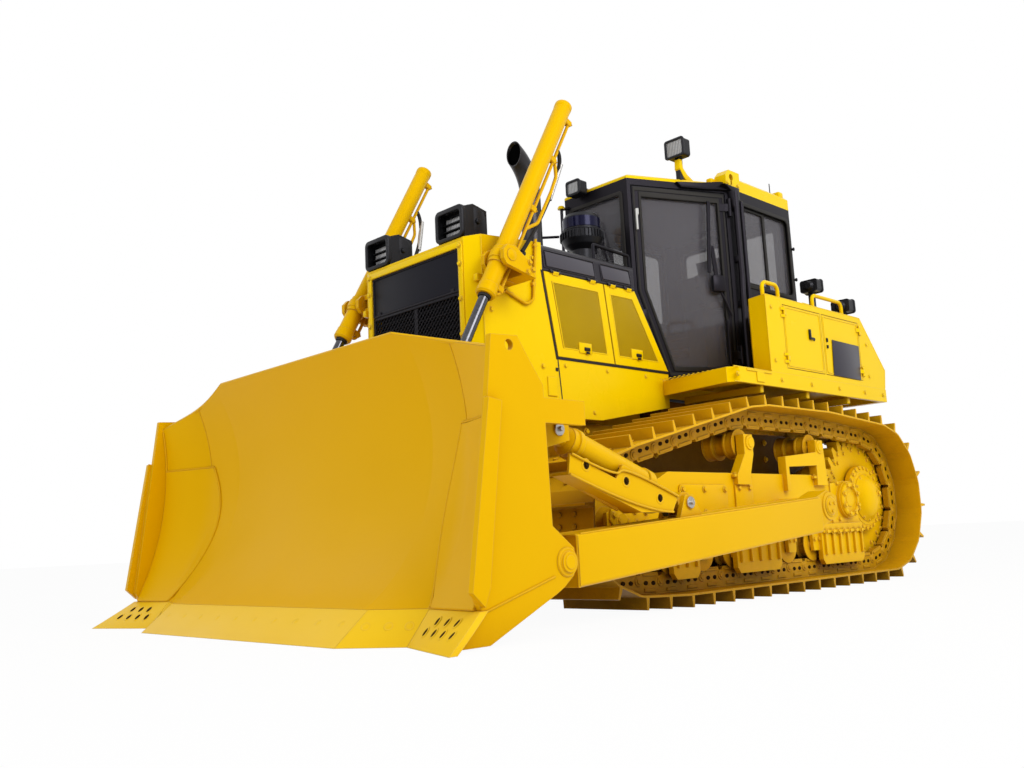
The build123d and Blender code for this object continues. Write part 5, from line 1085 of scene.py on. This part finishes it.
# ---- exhaust and air intake ------------------------------------------------------------------
# A bent steel stack, blackened by heat, its mouth cut upright.  Behind it the moulded intake
# bowl spins dust out through a ring of vanes.
heat_black = paint("heat_black", (0.008, 0.0075, 0.008), 0.33, (0.003, 0.003, 0.003), peel=0.15, edge=0.1,
                   gleam=0.4)
colour_node("exhaust", heat_black)
stack_x, stack_y = 0.56, 0.15
intake_x, intake_y = 0, 0.11
colour_node("precleaner", black_plastic)
parts = [turned([(0.0705, 0), (0.1, 0.0), (0.1, 0.012), (0.076, 0.016), (0.0705, 0.03)], 32,
                looking((stack_x, stack_y, 2.236), (0, 0, 1))),
         turned([(0.0705, 0), (0.076, 0.002), (0.076, 0.026), (0.0705, 0.028)], 32,
                looking((stack_x, stack_y, 2.33), (0, 0, 1)))]
# a near-black disc closes the stack's mouth: painted shade inside the pipe, with its soot
mouth = [(stack_y + 0.063 * cos(a), 2.995 + 0.078 * sin(a)) for a in [i * pi / 16 for i in range(32)]]
shade_and_soot = paint("mouth_shade_and_soot", (0.002, 0.002, 0.002), 0.9, (0.001, 0.001, 0.001), edge=0.0, gleam=0.0)
fasten(plate([mouth], 0.006, facing(0.682), 0.001), "exhaust_mouth", "tractor", shade_and_soot)
fasten(joined(parts), "exhaust_clamps", "tractor", heat_black)
fins = [block((0.012, 0.006, 0.055), Matrix.Rotation(2 * pi * i / 36, 4, "Z")
              @ Matrix.Translation((0.155, 0, 0)), 0.0015) for i in range(36)]
for fin in fins:
    fin.matrix_world = Matrix.Translation((intake_x, intake_y, 2.553)) @ fin.matrix_world
parts = [turned([(0.135, 0), (0.142, 0.004), (0.142, 0.012), (0.135, 0.016)], 40,
                looking((intake_x, intake_y, 2.585), (0, 0, 1))),
         turned([(0, 0.03), (0.014, 0.03), (0.02, 0.022), (0.022, 0.008), (0.05, 0.003), (0.055, 0),
                 (0, 0)], 24, looking((intake_x, intake_y, 2.71), (0, 0, 1))),
         turned([(0.082, 0), (0.094, 0.003), (0.094, 0.03), (0.082, 0.033)], 32,
                looking((intake_x, intake_y, 2.3), (0, 0, 1)))]
fasten(joined(fins + parts), "intake_vanes", "tractor", black_plastic)
navy = paint("navy_band", (0.003, 0.003, 0.018), 0.2, (0.002, 0.002, 0.008), edge=0.0, gleam=0.3)
navy.node_tree.nodes["Principled BSDF"].inputs["Specular Tint"].default_value = (0.5, 0.5, 0.8, 1)
fasten(turned([(0.1345, 0), (0.137, 0.002), (0.137, 0.074), (0.1345, 0.076)], 40,
              looking((intake_x, intake_y, 2.606), (0, 0, 1))), "intake_band", "tractor",
       navy)
rail = [pipe([(0.3, 0.46, 2.22), (0.3, 0.46, 2.36), (-0.12, 0.42, 2.36), (-0.16, 0.4, 2.2)], 0.012, 0.03),
        pipe([(0.18, -0.3, 2.236), (0.18, -0.3, 2.62), (-0.05, -0.16, 2.64)], 0.01, 0.03)]
fasten(joined(rail), "intake_rail", "tractor", black_steel)

# ---- cab frame and roof ----------------------------------------------------------------------
# A welded cab of black painted tube and sheet under a pressed yellow roof.  Rubber profiles hold
# its windows, and two brackets take the roll-over bar's pins.
cab_black = paint("cab_black", (0.0075, 0.0068, 0.0085), 0.36, (0.003, 0.003, 0.004), edge=0.08, gleam=0.16)
colour_node("cab_frame cab_door_left cab_door_right", cab_black)
colour_node("cab_roof", body_yellow)
window_x, window_z = -1.59, 2.595          # the middle of the side windows
rubbers = [plate([oblong(window_x, window_z, 0.77, 0.69, 0.06),
                  oblong(window_x, window_z, 0.71, 0.63, 0.045)], 0.012, standing(0.662), 0.004),
           plate([oblong(window_x, window_z, 0.742, 0.662, 0.05),
                  oblong(window_x, window_z, 0.69, 0.61, 0.04)], 0.014, standing(0.632), 0.004),
           plate([oblong(-1.61, window_z, 0.03, 0.64, 0.006)], 0.02, standing(0.636), 0.003),
           plate([oblong(-1.42, window_z, 0.37, 0.62, 0.03), oblong(-1.42, window_z, 0.335, 0.585, 0.02)],
                 0.012, standing(0.643), 0.003)]
fasten(joined(rubbers), "side_window_rubbers", "tractor", rubber, pair=True)
rubbers = [plate([oblong(0, window_z, 0.53, 0.68, 0.03), oblong(0, window_z, 0.47, 0.62, 0.02)], 0.014,
                 facing(-0.302), 0.004),
           plate([oblong(0, window_z, 0.99, 0.69, 0.06), oblong(0, window_z, 0.92, 0.62, 0.045)], 0.014,
                 facing(-2.092), 0.004)]
fasten(joined(rubbers), "end_window_rubbers", "tractor", rubber)
# the tubes of the door's pillar with their clips, the bar's gusset, and the window's two hooks
parts = [pipe([(-1.125, 0.7, 1.5), (-1.125, 0.7, 2.16), (-1.135, 0.7, 2.3), (-1.135, 0.7, 2.98)],
              0.024, 0.03),
         pipe([(-1.198, 0.664, 2.1), (-1.198, 0.705, 2.13), (-1.198, 0.705, 2.9), (-1.198, 0.664, 2.93)],
              0.02, 0.02)]
for z in (1.56, 1.72, 2.1, 2.45, 2.9):
    parts.append(block((0.06, 0.045, 0.05), (-1.14, 0.676, z), 0.006, 2))
parts.append(plate([[(-1.2, 3.02), (-1.2, 2.87), (-1.17, 2.84), (-1.12, 2.84), (-1.105, 2.87),
                     (-1.09, 2.98), (-1.0, 3.02)]], 0.05, standing(0.678), 0.006))
for z in (2.68, 2.42):
    parts.append(turned([(0, 0.035), (0.012, 0.033), (0.016, 0.024), (0.008, 0.012), (0.008, 0), (0, 0)], 14,
                        looking((-1.982, 0.655, z), (-0.3, 1, 0))))
fasten(joined(parts), "pillar_trim", "tractor", cab_black, pair=True)
parts = [pipe([(-0.31, -0.27, 2.95), (-0.24, -0.29, 2.93), (-0.235, -0.29, 2.36), (-0.3, -0.27, 2.33)],
              0.012, 0.03),
         pipe([(-1.85, 0.59, 3.12), (-1.85, 0.59, 3.24)], 0.004),
         turned([(0, 0.03), (0.01, 0.028), (0.014, 0.004), (0.02, 0), (0, 0)], 14,
                looking((-1.85, 0.59, 3.132), (0, 0, 1)))]
# the wiper of the front pane and its motor
parts += [block((0.016, 0.016, 0.42), leaning((-0.292, 0.06, 2.56), 0.22, "X"), 0.003),
          block((0.012, 0.02, 0.34), leaning((-0.286, -0.02, 2.68), 0.1, "X"), 0.003),
          block((0.04, 0.09, 0.06), (-0.29, 0.1, 2.34), 0.01, 2)]
fasten(joined(parts), "cab_front_rail", "tractor", cab_black)
parts = [bead([(-0.33, 0.3, 3.049), (-1.09, 0.635, 3.049)], 0.004),
         bead([(-1.19, 0.58, 3.134), (-2.0, 0.58, 3.134)], 0.004),
         block((0.8, 0.05, 0.006), (-1.6, 0.3, 3.1355), 0.002),
         block((0.62, 0.05, 0.006), (-0.8, 0.2, 3.0505), 0.002),
         block((0.07, 0.09, 0.06), (-1.95, 0.59, 3.15), 0.012, 2)]
fasten(joined(parts), "roof_trim", "tractor", body_yellow, pair=True)
# the padded headliner under the roof, with its console
lining = [(-0.365, 0.25), (-1.11, 0.598), (-1.99, 0.598), (-2.028, 0.5)]
lining += [(x, -y) for x, y in reversed(lining)]
fasten(joined([plate([lining], 0.016, lying(3.008), 0.005),
               plate([oblong(-0.6, 0, 0.34, 0.5, 0.03)], 0.03, lying(2.99), 0.01),
               block((0.12, 0.4, 0.03), (-1.9, 0, 2.99), 0.01, 2)]), "headliner", "tractor",
       rubber)
# the front lamp's bracket, curved up from the roof, and the knob under the right lamp
parts = [plate([[(-0.95, 3.045), (-0.9, 3.075), (-0.82, 3.11), (-0.775, 3.15), (-0.765, 3.215),
                 (-0.735, 3.215), (-0.73, 3.14), (-0.77, 3.085), (-0.82, 3.045)]], 0.05,
               standing(0.47), 0.004),
         block((0.1, 0.07, 0.02), (-1.02, 0.47, 3.058), 0.005, 2),
         block((0.07, 0.05, 0.05), (-1.02, 0.57, 3.07), 0.012, 2),
         turned([(0, 0.024), (0.02, 0.024), (0.028, 0.012), (0.028, 0), (0, 0)], 16,
                looking((-0.236, -0.29, 2.93), (0, 0, 1)))]
fasten(joined(parts), "lamp_bracket", "tractor", body_yellow)
bolts = [looking((x, 0.47, 3.068), (0, 0, 1)) for x in (-1.0, -1.04)]
bolts += [looking((x, s * 0.692, z), (0, s, 0)) for s in (1, -1) for x, z in ((-1.06, 3.04), (-1.2, 3.04))]
fasten(repeated(bolt(0.02), bolts), "roof_bolts", "tractor", body_yellow)

# ---- cab glass -------------------------------------------------------------------------------
# Panes of smoked toughened glass, set in rubber profiles.  They are so dark that the seat only
# just shows through them.
tinted_glass, tree, shader = new_finish("tinted_glass")
place = tree.node("ShaderNodeTexCoord", {}, {}, "Object")
haze = place.noise(2.5, 4)
haze.mix((0.13, 0.122, 0.14), (0.16, 0.152, 0.172)).feed(shader, "Base Color")
(0.02 + haze * 0.05).feed(shader, "Roughness")
shader.inputs["Alpha"].default_value = 0.42
colour_node("cab_glass cab_door_glass_left cab_door_glass_right", tinted_glass)

# ---- cab doors -------------------------------------------------------------------------------
# A tube frame with one full pane in a rubber profile.  It hangs on two hinges at the pillar and
# carries its own wiper, latch, handle and handrail.
handle_grey = paint("handle_grey", (0.62, 0.62, 0.6), 0.35, (0.2, 0.2, 0.2), edge=0.1)
pane = [(0.1, 1.59), (0.578, 1.59), (0.7695, 2.171), (0.7695, 2.9), (0.1, 2.9)]
edge = [(0.045, 1.535), (0.617, 1.535), (0.826, 2.163), (0.826, 2.957), (0.045, 2.957)]


def grown(outline, share, middle=(0.42, 2.2)):
    """An outline grown or shrunk about its middle."""
    middle = Vector(middle)
    return [tuple(middle + (Vector(corner) - middle) * share) for corner in outline]


for side, s in (("left", 1), ("right", -1)):
    along = Vector((0.9155, -0.4025 * s, 0))
    outward = Vector((0.4025, 0.9155 * s, 0))
    square = along.cross(Vector((0, 0, 1)))
    turn = Matrix((along, (0, 0, 1), square)).transposed().to_4x4()

    def door_point(u, z, out):
        """A point of the door: along it from its pillar, its height, and out from its face."""
        return Vector((-1.1, 0.66 * s, z)) + along * u + outward * out

    def on_door(u, z, out):
        """A place on the door, its own x along the door and y up."""
        return Matrix.Translation(door_point(u, z, out)) @ turn

    body = f"cab_door_{side}"
    shrunk, spread, inset = (grown(pane, 0.972), grown(pane, 1.03), grown(edge, 0.96))
    fasten(joined([plate([spread, shrunk], 0.012, on_door(0, 0, 0.001), 0.004),
                   plate([spread, shrunk], 0.012, on_door(0, 0, -0.016), 0.004),
                   plate([edge, inset], 0.006, on_door(0, 0, 0.001), 0.0015)]),
           f"{body}_rubber", body, rubber)
    parts = [block((0.026, 0.018, 0.56), on_door(0.225, 2.6, 0.034) @ Matrix.Rotation(pi / 2, 4, "X")
                   @ Matrix.Rotation(0.07, 4, "Y"), 0.003),
             block((0.034, 0.016, 0.3), on_door(0.19, 2.38, 0.03) @ Matrix.Rotation(pi / 2, 4, "X")
                   @ Matrix.Rotation(-0.1, 4, "Y"), 0.003),
             block((0.11, 0.13, 0.045), on_door(0.165, 2.24, 0.02), 0.015, 2),
             pipe([door_point(0.16, 2.2, 0.02), door_point(0.12, 2.12, 0.025), door_point(0.07, 2.0, 0.022)],
                  0.009),
             pipe([door_point(0.1, 1.95, 0.0), door_point(0.13, 1.95, 0.05), door_point(0.13, 1.62, 0.05),
                   door_point(0.1, 1.6, 0.0)], 0.011, 0.02),
             block((0.05, 0.09, 0.02), on_door(0.79, 1.98, 0.004), 0.006, 2)]
    fasten(joined(parts), f"{body}_wiper", body, cab_black)
    parts = [block((0.022, 0.05, 0.02), on_door(0.805, 2.76, 0.01), 0.004, 2),
             block((0.016, 0.16, 0.02), on_door(0.812, 2.7, 0.012), 0.005, 2)]
    fasten(joined(parts), f"{body}_handle", body, handle_grey)
    # the gusset over the door, from the roof's edge to the roll-over bar's pin
    gusset = plate([[(0.46, 3.018), (0.42, 2.978), (0.2, 2.978), (0.1, 2.985), (-0.02, 2.985),
                     (-0.02, 3.045), (0.08, 3.05), (0.24, 3.03)]], 0.03, on_door(0, 0, 0.012), 0.006)
    fasten(gusset, f"door_gusset_{side}", "tractor", cab_black)

# ---- seat and controls -----------------------------------------------------------------------
# A suspension seat in dark woven cloth on a moulded base.  Consoles stand on both sides, with
# the blade lever on the right and the steering lever on the left.
seat_cloth, tree, shader = new_finish("seat_cloth")
place = tree.node("ShaderNodeTexCoord", {}, {}, "Object")
warp = tree.node("ShaderNodeTexWave", {"bands_direction": "X"},
                 {"Vector": place, "Scale": 160.0, "Distortion": 1.0})
weft = tree.node("ShaderNodeTexWave", {"bands_direction": "Y"},
                 {"Vector": place, "Scale": 160.0, "Distortion": 1.0})
weave = tree.math("MAXIMUM", warp, weft)
cloud = place.noise(6.0, 3)
(weave * 0.6 + cloud * 0.4).mix((0.01, 0.01, 0.012), (0.035, 0.035, 0.04)).feed(shader, "Base Color")
weave.emboss(shader, 0.5, 0.001)
shader.inputs["Roughness"].default_value = 0.9
shader.inputs["Sheen Weight"].default_value = 0.3
colour_node("seat", seat_cloth)
colour_node("controls", black_plastic)


def cushion(length, width, height, channels, place):
    """A crowned foam pad with sewn channels across it and its sides pulled in between corners."""
    bpy.ops.object.select_all(action="DESELECT")
    bpy.ops.mesh.primitive_cube_add(size=2)
    piece = bpy.context.object
    bpy.ops.object.mode_set(mode="EDIT")
    bpy.ops.mesh.select_all(action="SELECT")
    bpy.ops.mesh.subdivide(number_cuts=19)
    bpy.ops.object.mode_set(mode="OBJECT")
    for vertex in piece.data.vertices:
        u, v, w = vertex.co
        crown = (1 - u ** 4) * (1 - v ** 4)
        groove = sum(0.012 * 2.718 ** (-((u - c) / 0.06) ** 2) for c in channels) * (1 - v ** 6)
        inner = 1 - 0.03 * (1 - v * v) if abs(u) > 0.99 else 1
        side_in = 1 - 0.03 * (1 - u * u) if abs(v) > 0.99 else 1
        z = w * height / 2 * (0.62 + 0.38 * crown) if w > 0 else w * height / 2
        vertex.co = (u * length / 2 * inner, v * width / 2 * side_in, z - (groove if w > 0.9 else 0))
    rounder = piece.modifiers.new("rounder", "BEVEL")
    rounder.width = 0.02
    rounder.segments = 3
    rounder.limit_method = "ANGLE"
    rounder.angle_limit = radians(50)
    bpy.ops.object.modifier_apply(modifier="rounder")
    seam = pipe([(a * length / 2 * 0.995, b * width / 2 * 0.995, 0.0)
                 for a, b in ((-1, 0), (-1, 0.9), (-0.9, 1), (0.9, 1), (1, 0.9), (1, -0.9), (0.9, -1),
                              (-0.9, -1), (-1, -0.9), (-1, 0))], 0.005, sides=1)
    piece = joined([piece, seam])
    piece.matrix_world = place
    return piece


pads = (("seat_cushion", cushion(0.54, 0.5, 0.15, (-0.45, 0.1, 0.55), leaning((-1.46, 0, 1.93), -0.05, "Y"))),
        ("seat_back", cushion(0.62, 0.48, 0.13, (-0.5, 0.0, 0.5), leaning((-1.745, 0, 2.27), -1.37, "Y"))),
        ("seat_headrest", cushion(0.15, 0.27, 0.1, (), leaning((-1.825, 0, 2.65), -1.37, "Y"))))
for name, pad in pads:
    fasten(pad, name, "tractor", seat_cloth)
base = [block((0.42, 0.42, 0.1), (-1.46, 0, 1.57), 0.02, 3),
        block((0.34, 0.36, 0.2), (-1.46, 0, 1.7), 0.015, 2),
        block((0.46, 0.44, 0.05), (-1.47, 0, 1.84), 0.015, 2)]
base += [plate([oblong(0, 1.7, 0.38, 0.22 - 0.03 * i, 0.02)], 0.01, facing(-1.28 + 0.012 * i), 0.002)
         for i in range(3)]
base += [pipe([(-1.8, y, 2.55), (-1.815, y, 2.62)], 0.007) for y in (-0.06, 0.06)]
seat_base = fasten(joined(base), "seat_base", "tractor", black_plastic)
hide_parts("seat")
parts = []
for y, lean in ((0.4, 0.1), (-0.4, -0.05)):
    top, foot = Vector((-0.98, y, 2.3)), Vector((-1.02, y, 2.1))
    parts.append(turned([(0.035, 0), (0.034, 0.02), (0.026, 0.03), (0.03, 0.042), (0.02, 0.055),
                         (0.008, 0.07), (0.008, 0.1), (0, 0.1)], 18, looking(foot, (0, 0, 1))))
    parts.append(pipe([foot, foot + Vector((0.01, 0, 0.09)), top], 0.009))
    parts.append(turned([(0, 0.06), (0.014, 0.056), (0.022, 0.036), (0.018, 0.01), (0.024, -0.03),
                         (0.016, -0.045), (0, -0.048)], 18, looking(top, (0.2, lean, 1))))
    parts.append(block((0.34, 0.1, 0.05), (-1.36, y, 2.16), 0.02, 3))
parts += [block((0.03, 0.22, 0.15), leaning((-0.53, -0.18, 2.3), -0.3, "Y"), 0.01, 2),
          block((0.06, 0.14, 0.012), leaning((-0.74, 0.12, 1.6), -0.5, "Y"), 0.004),
          block((0.06, 0.14, 0.012), leaning((-0.74, -0.12, 1.6), -0.5, "Y"), 0.004)]
fasten(joined(parts), "levers", "tractor", black_plastic)

# ---- deck boxes ------------------------------------------------------------------------------
# Sheet-metal boxes on the decks: batteries and valves on the left behind two flush doors,
# hydraulic oil on the right.  Rails bolted to their tops are handholds.
deck_yellow = paint("deck_yellow", (0.96, 0.64, 0.0), 0.3, (0.6, 0.31, 0.002), gleam=0.15, reach=0.3)
lid_edge, door_side = 1.983, 1.206          # height of the box's top edge, and y of its doors' skins
colour_node("fenders battery_box box_door_front box_door_rear hydraulic_tank grab_rails", deck_yellow)
for name, rear, front in (("front", -1.305, -0.795), ("rear", -1.885, -1.335)):
    body = f"box_door_{name}"
    fold = plate([oblong((rear + front) / 2, 1.715, front - rear - 0.02, 0.42, 0.02),
                  oblong((rear + front) / 2, 1.715, front - rear - 0.034, 0.406, 0.016)], 0.006,
                 standing(door_side), 0.0025)
    fasten(fold, f"{body}_fold", body, deck_yellow)
catch = [block((0.02, 0.014, 0.07), (-1.13, 1.212, 1.765), 0.004, 2),
         block((0.055, 0.012, 0.018), (-1.146, 1.214, 1.735), 0.004, 2),
         turned([(0, 0.008), (0.01, 0.006), (0.013, 0), (0, 0)], 16,
                looking((-1.19, door_side, 1.735), (0, 1, 0)))]
fasten(joined(catch), "front_door_handle", "box_door_front", black_plastic)
catch = [block((0.014, 0.012, 0.03), (-1.375, 1.211, 1.75), 0.003),
         block((0.014, 0.012, 0.024), (-1.375, 1.211, 1.7), 0.003)]
fasten(joined(catch), "rear_door_latch", "box_door_rear", black_plastic)
plate_dark = paint("plate_dark", (0.022, 0.02, 0.026), 0.3, (0.01, 0.01, 0.012), edge=0.05, gleam=0.4)
blank = plate([[(-1.452, 1.76), (-1.862, 1.755), (-1.848, 1.49), (-1.432, 1.495)]], 0.003,
              standing(1.2098), 0.001)
fasten(blank, "blank_plate", "box_door_rear", plate_dark)
# folded lips, the feet of the rails and the lids on top
parts = [bead([(-0.58, 1.203, 1.46), (-0.58, 1.203, lid_edge), (-1.928, 1.203, lid_edge),
               (-2.28, 1.203, 1.602), (-2.25, 1.203, 1.46)], 0.004, 0.01),
         bead([(-0.584, 1.2, lid_edge), (-0.624, 1.05, lid_edge), (-1.18, 0.702, lid_edge)], 0.004, 0.01),
         bead([(-1.93, 0.71, 1.984), (-1.93, 1.2, 1.984)], 0.004)]
for x in (-0.65, -0.85, -1.33, -1.77):
    parts.append(turned([(0.014, 0.014), (0.02, 0.01), (0.034, 0.008), (0.036, 0), (0.014, 0)], 18,
                        looking((x, 1.145, 1.985), (0, 0, 1))))
parts.append(plate([[(-1.78, 0.84), (-1.02, 0.84), (-1.02, 1.08), (-1.78, 1.08)]], 0.008, lying(1.9885),
                   0.0025))
fasten(joined(parts), "box_lips", "tractor", deck_yellow, pair=True)
studs = [looking((x, s * y, 1.9925), (0, 0, 1)) for s in (1, -1) for x in (-1.74, -1.4, -1.06)
         for y in (0.87, 1.05)]
studs += [looking((x, s * 1.2055, z), (0, s, 0)) for s in (1, -1)
          for x, z in ((-0.64, 1.53), (-0.64, 1.9), (-2.0, 1.53), (-2.0, 1.78))]
studs += [looking((x, -1.2055, z), (0, -1, 0)) for x in (-1.0, -1.4, -1.8) for z in (1.55, 1.9)]
fasten(repeated(bolt(0.018), studs), "box_bolts", "tractor", deck_yellow)
tank = [turned([(0, 0.05), (0.05, 0.05), (0.056, 0.042), (0.056, 0.012), (0.07, 0.01), (0.074, 0), (0, 0)],
               28, looking((-1.25, -0.765, 1.985), (0, 0, 1))),
        block((0.02, 0.01, 0.12), (-0.9, -1.21, 1.72), 0.003)]
fasten(joined(tank), "oil_filler", "tractor", black_plastic)

# ---- decks over the tracks -------------------------------------------------------------------
# Folded steel decks bolted to the hull, with round-headed treads punched up where the driver
# steps, a folded outer lip and struts below.
tread = turned([(0, 0.006), (0.006, 0.005), (0.01, 0), (0, 0)], 6)
spots = [Matrix.Translation((x / 1000, s * y / 1000, 1.4505)) for s in (1, -1) for x in range(-540, -160, 34)
         for y in range(600, 1180, 38) if x < -200 or y < 1100]
fasten(repeated(tread, spots), "deck_treads", "tractor", deck_yellow)
parts = [bead([(-0.13, 1.2, 1.449), (-2.25, 1.2, 1.449)], 0.004),
         bead([(-0.13, 1.2, 1.352), (-2.25, 1.2, 1.352)], 0.004),
         block((0.09, 0.008, 0.07), (-0.43, 1.208, 1.4), 0.003),
         block((0.3, 0.01, 0.012), (-0.42, 1.208, 1.436), 0.003)]
for x in (-0.5, -1.1, -1.7):
    parts.append(block((0.04, 0.62, 0.05), (x, 0.86, 1.33), 0.006))
fasten(joined(parts), "deck_lips", "tractor", deck_yellow, pair=True)
studs = [looking((x, s * 1.206, 1.4), (0, s, 0)) for s in (1, -1)
         for x in (-0.16, -0.7, -1.1, -1.5, -1.9, -2.2)]
studs += [looking((x, s * 1.12, 1.451), (0, 0, 1)) for s in (1, -1) for x in (-2.24, -0.52)]
fasten(repeated(bolt(0.02), studs), "deck_bolts", "tractor", deck_yellow)

# ---- fuel tank, rear and drawbar -------------------------------------------------------------
# The welded tank closes the rear under the window, with its cap, cover plates, tail lamps and
# rails.  The drawbar's pin stands below it.
colour_node("fuel_tank", deck_yellow)
parts = [plate([oblong(0, 1.72, 1.24, 0.38, 0.05), oblong(0, 1.72, 1.2, 0.34, 0.04)], 0.012,
               facing(-2.552), 0.005),
         plate([oblong(0, 1.72, 0.5, 0.24, 0.02)], 0.01, facing(-2.552), 0.004),
         turned([(0, 0.05), (0.06, 0.05), (0.068, 0.04), (0.068, 0.012), (0.085, 0.01), (0.09, 0), (0, 0)],
                32, looking((-2.3, 0.42, 2.108), (0, 0, 1)))]
for s in (1, -1):
    parts.append(bead([(-2.12, s * 0.68, 1.47), (-2.12, s * 0.68, 2.106), (-2.42, s * 0.68, 2.106),
                       (-2.546, s * 0.68, 1.93), (-2.546, s * 0.68, 1.51), (-2.47, s * 0.68, 1.454)],
                      0.004, 0.01))
    parts.append(plate([oblong(-2.33, 1.78, 0.3, 0.44, 0.04)], 0.01, standing(s * 0.682), 0.004))
fasten(joined(parts), "tank_trim", "tractor", body_yellow)
studs = [looking((-2.5555, y, z), (-1, 0, 0)) for y in (-0.57, -0.3, 0, 0.3, 0.57) for z in (1.57, 1.87)]
studs += [looking((-2.5555, y, 1.72), (-1, 0, 0)) for y in (-0.6, 0.6)]
fasten(repeated(bolt(0.022), studs), "tank_bolts", "tractor", body_yellow)
red_lens, tree, shader = new_finish("red_lens")
place = tree.node("ShaderNodeTexCoord", {}, {}, "Object")
ribs = tree.node("ShaderNodeTexWave", {"bands_direction": "Z"}, {"Vector": place, "Scale": 30.0})
ribs.mix((0.25, 0.004, 0.004), (0.5, 0.01, 0.01)).feed(shader, "Base Color")
ribs.emboss(shader, 0.4, 0.002)
shader.inputs["Roughness"].default_value = 0.15
lamps = [plate([oblong(s * 0.45, 1.72, 0.1, 0.06, 0.012)], 0.014, facing(-2.556), 0.004) for s in (1, -1)]
fasten(joined(lamps), "tail_lamps", "tractor", red_lens)
parts = [pipe([(-2.15, s * 0.62, 2.1), (-2.15, s * 0.62, 2.25), (-2.38, s * 0.62, 2.25),
               (-2.38, s * 0.62, 2.1)], 0.014, 0.03) for s in (1, -1)]
fasten(joined(parts), "tank_rails", "tractor", body_yellow)
pin = [turned([(0, 0.05), (0.02, 0.05), (0.03, 0.042), (0.03, 0.012), (0.05, 0.01), (0.05, 0), (0.0285, 0),
               (0.0285, -0.19), (0.02, -0.21), (0, -0.21)], 28, looking((-2.63, 0, 0.662), (0, 0, 1))),
       pipe([(-2.6, 0, 0.72), (-2.56, 0.06, 0.73), (-2.53, 0.1, 0.69), (-2.52, 0.1, 0.6)], 0.006)]
fasten(joined(pin), "drawbar_pin", "tractor", bare_steel)
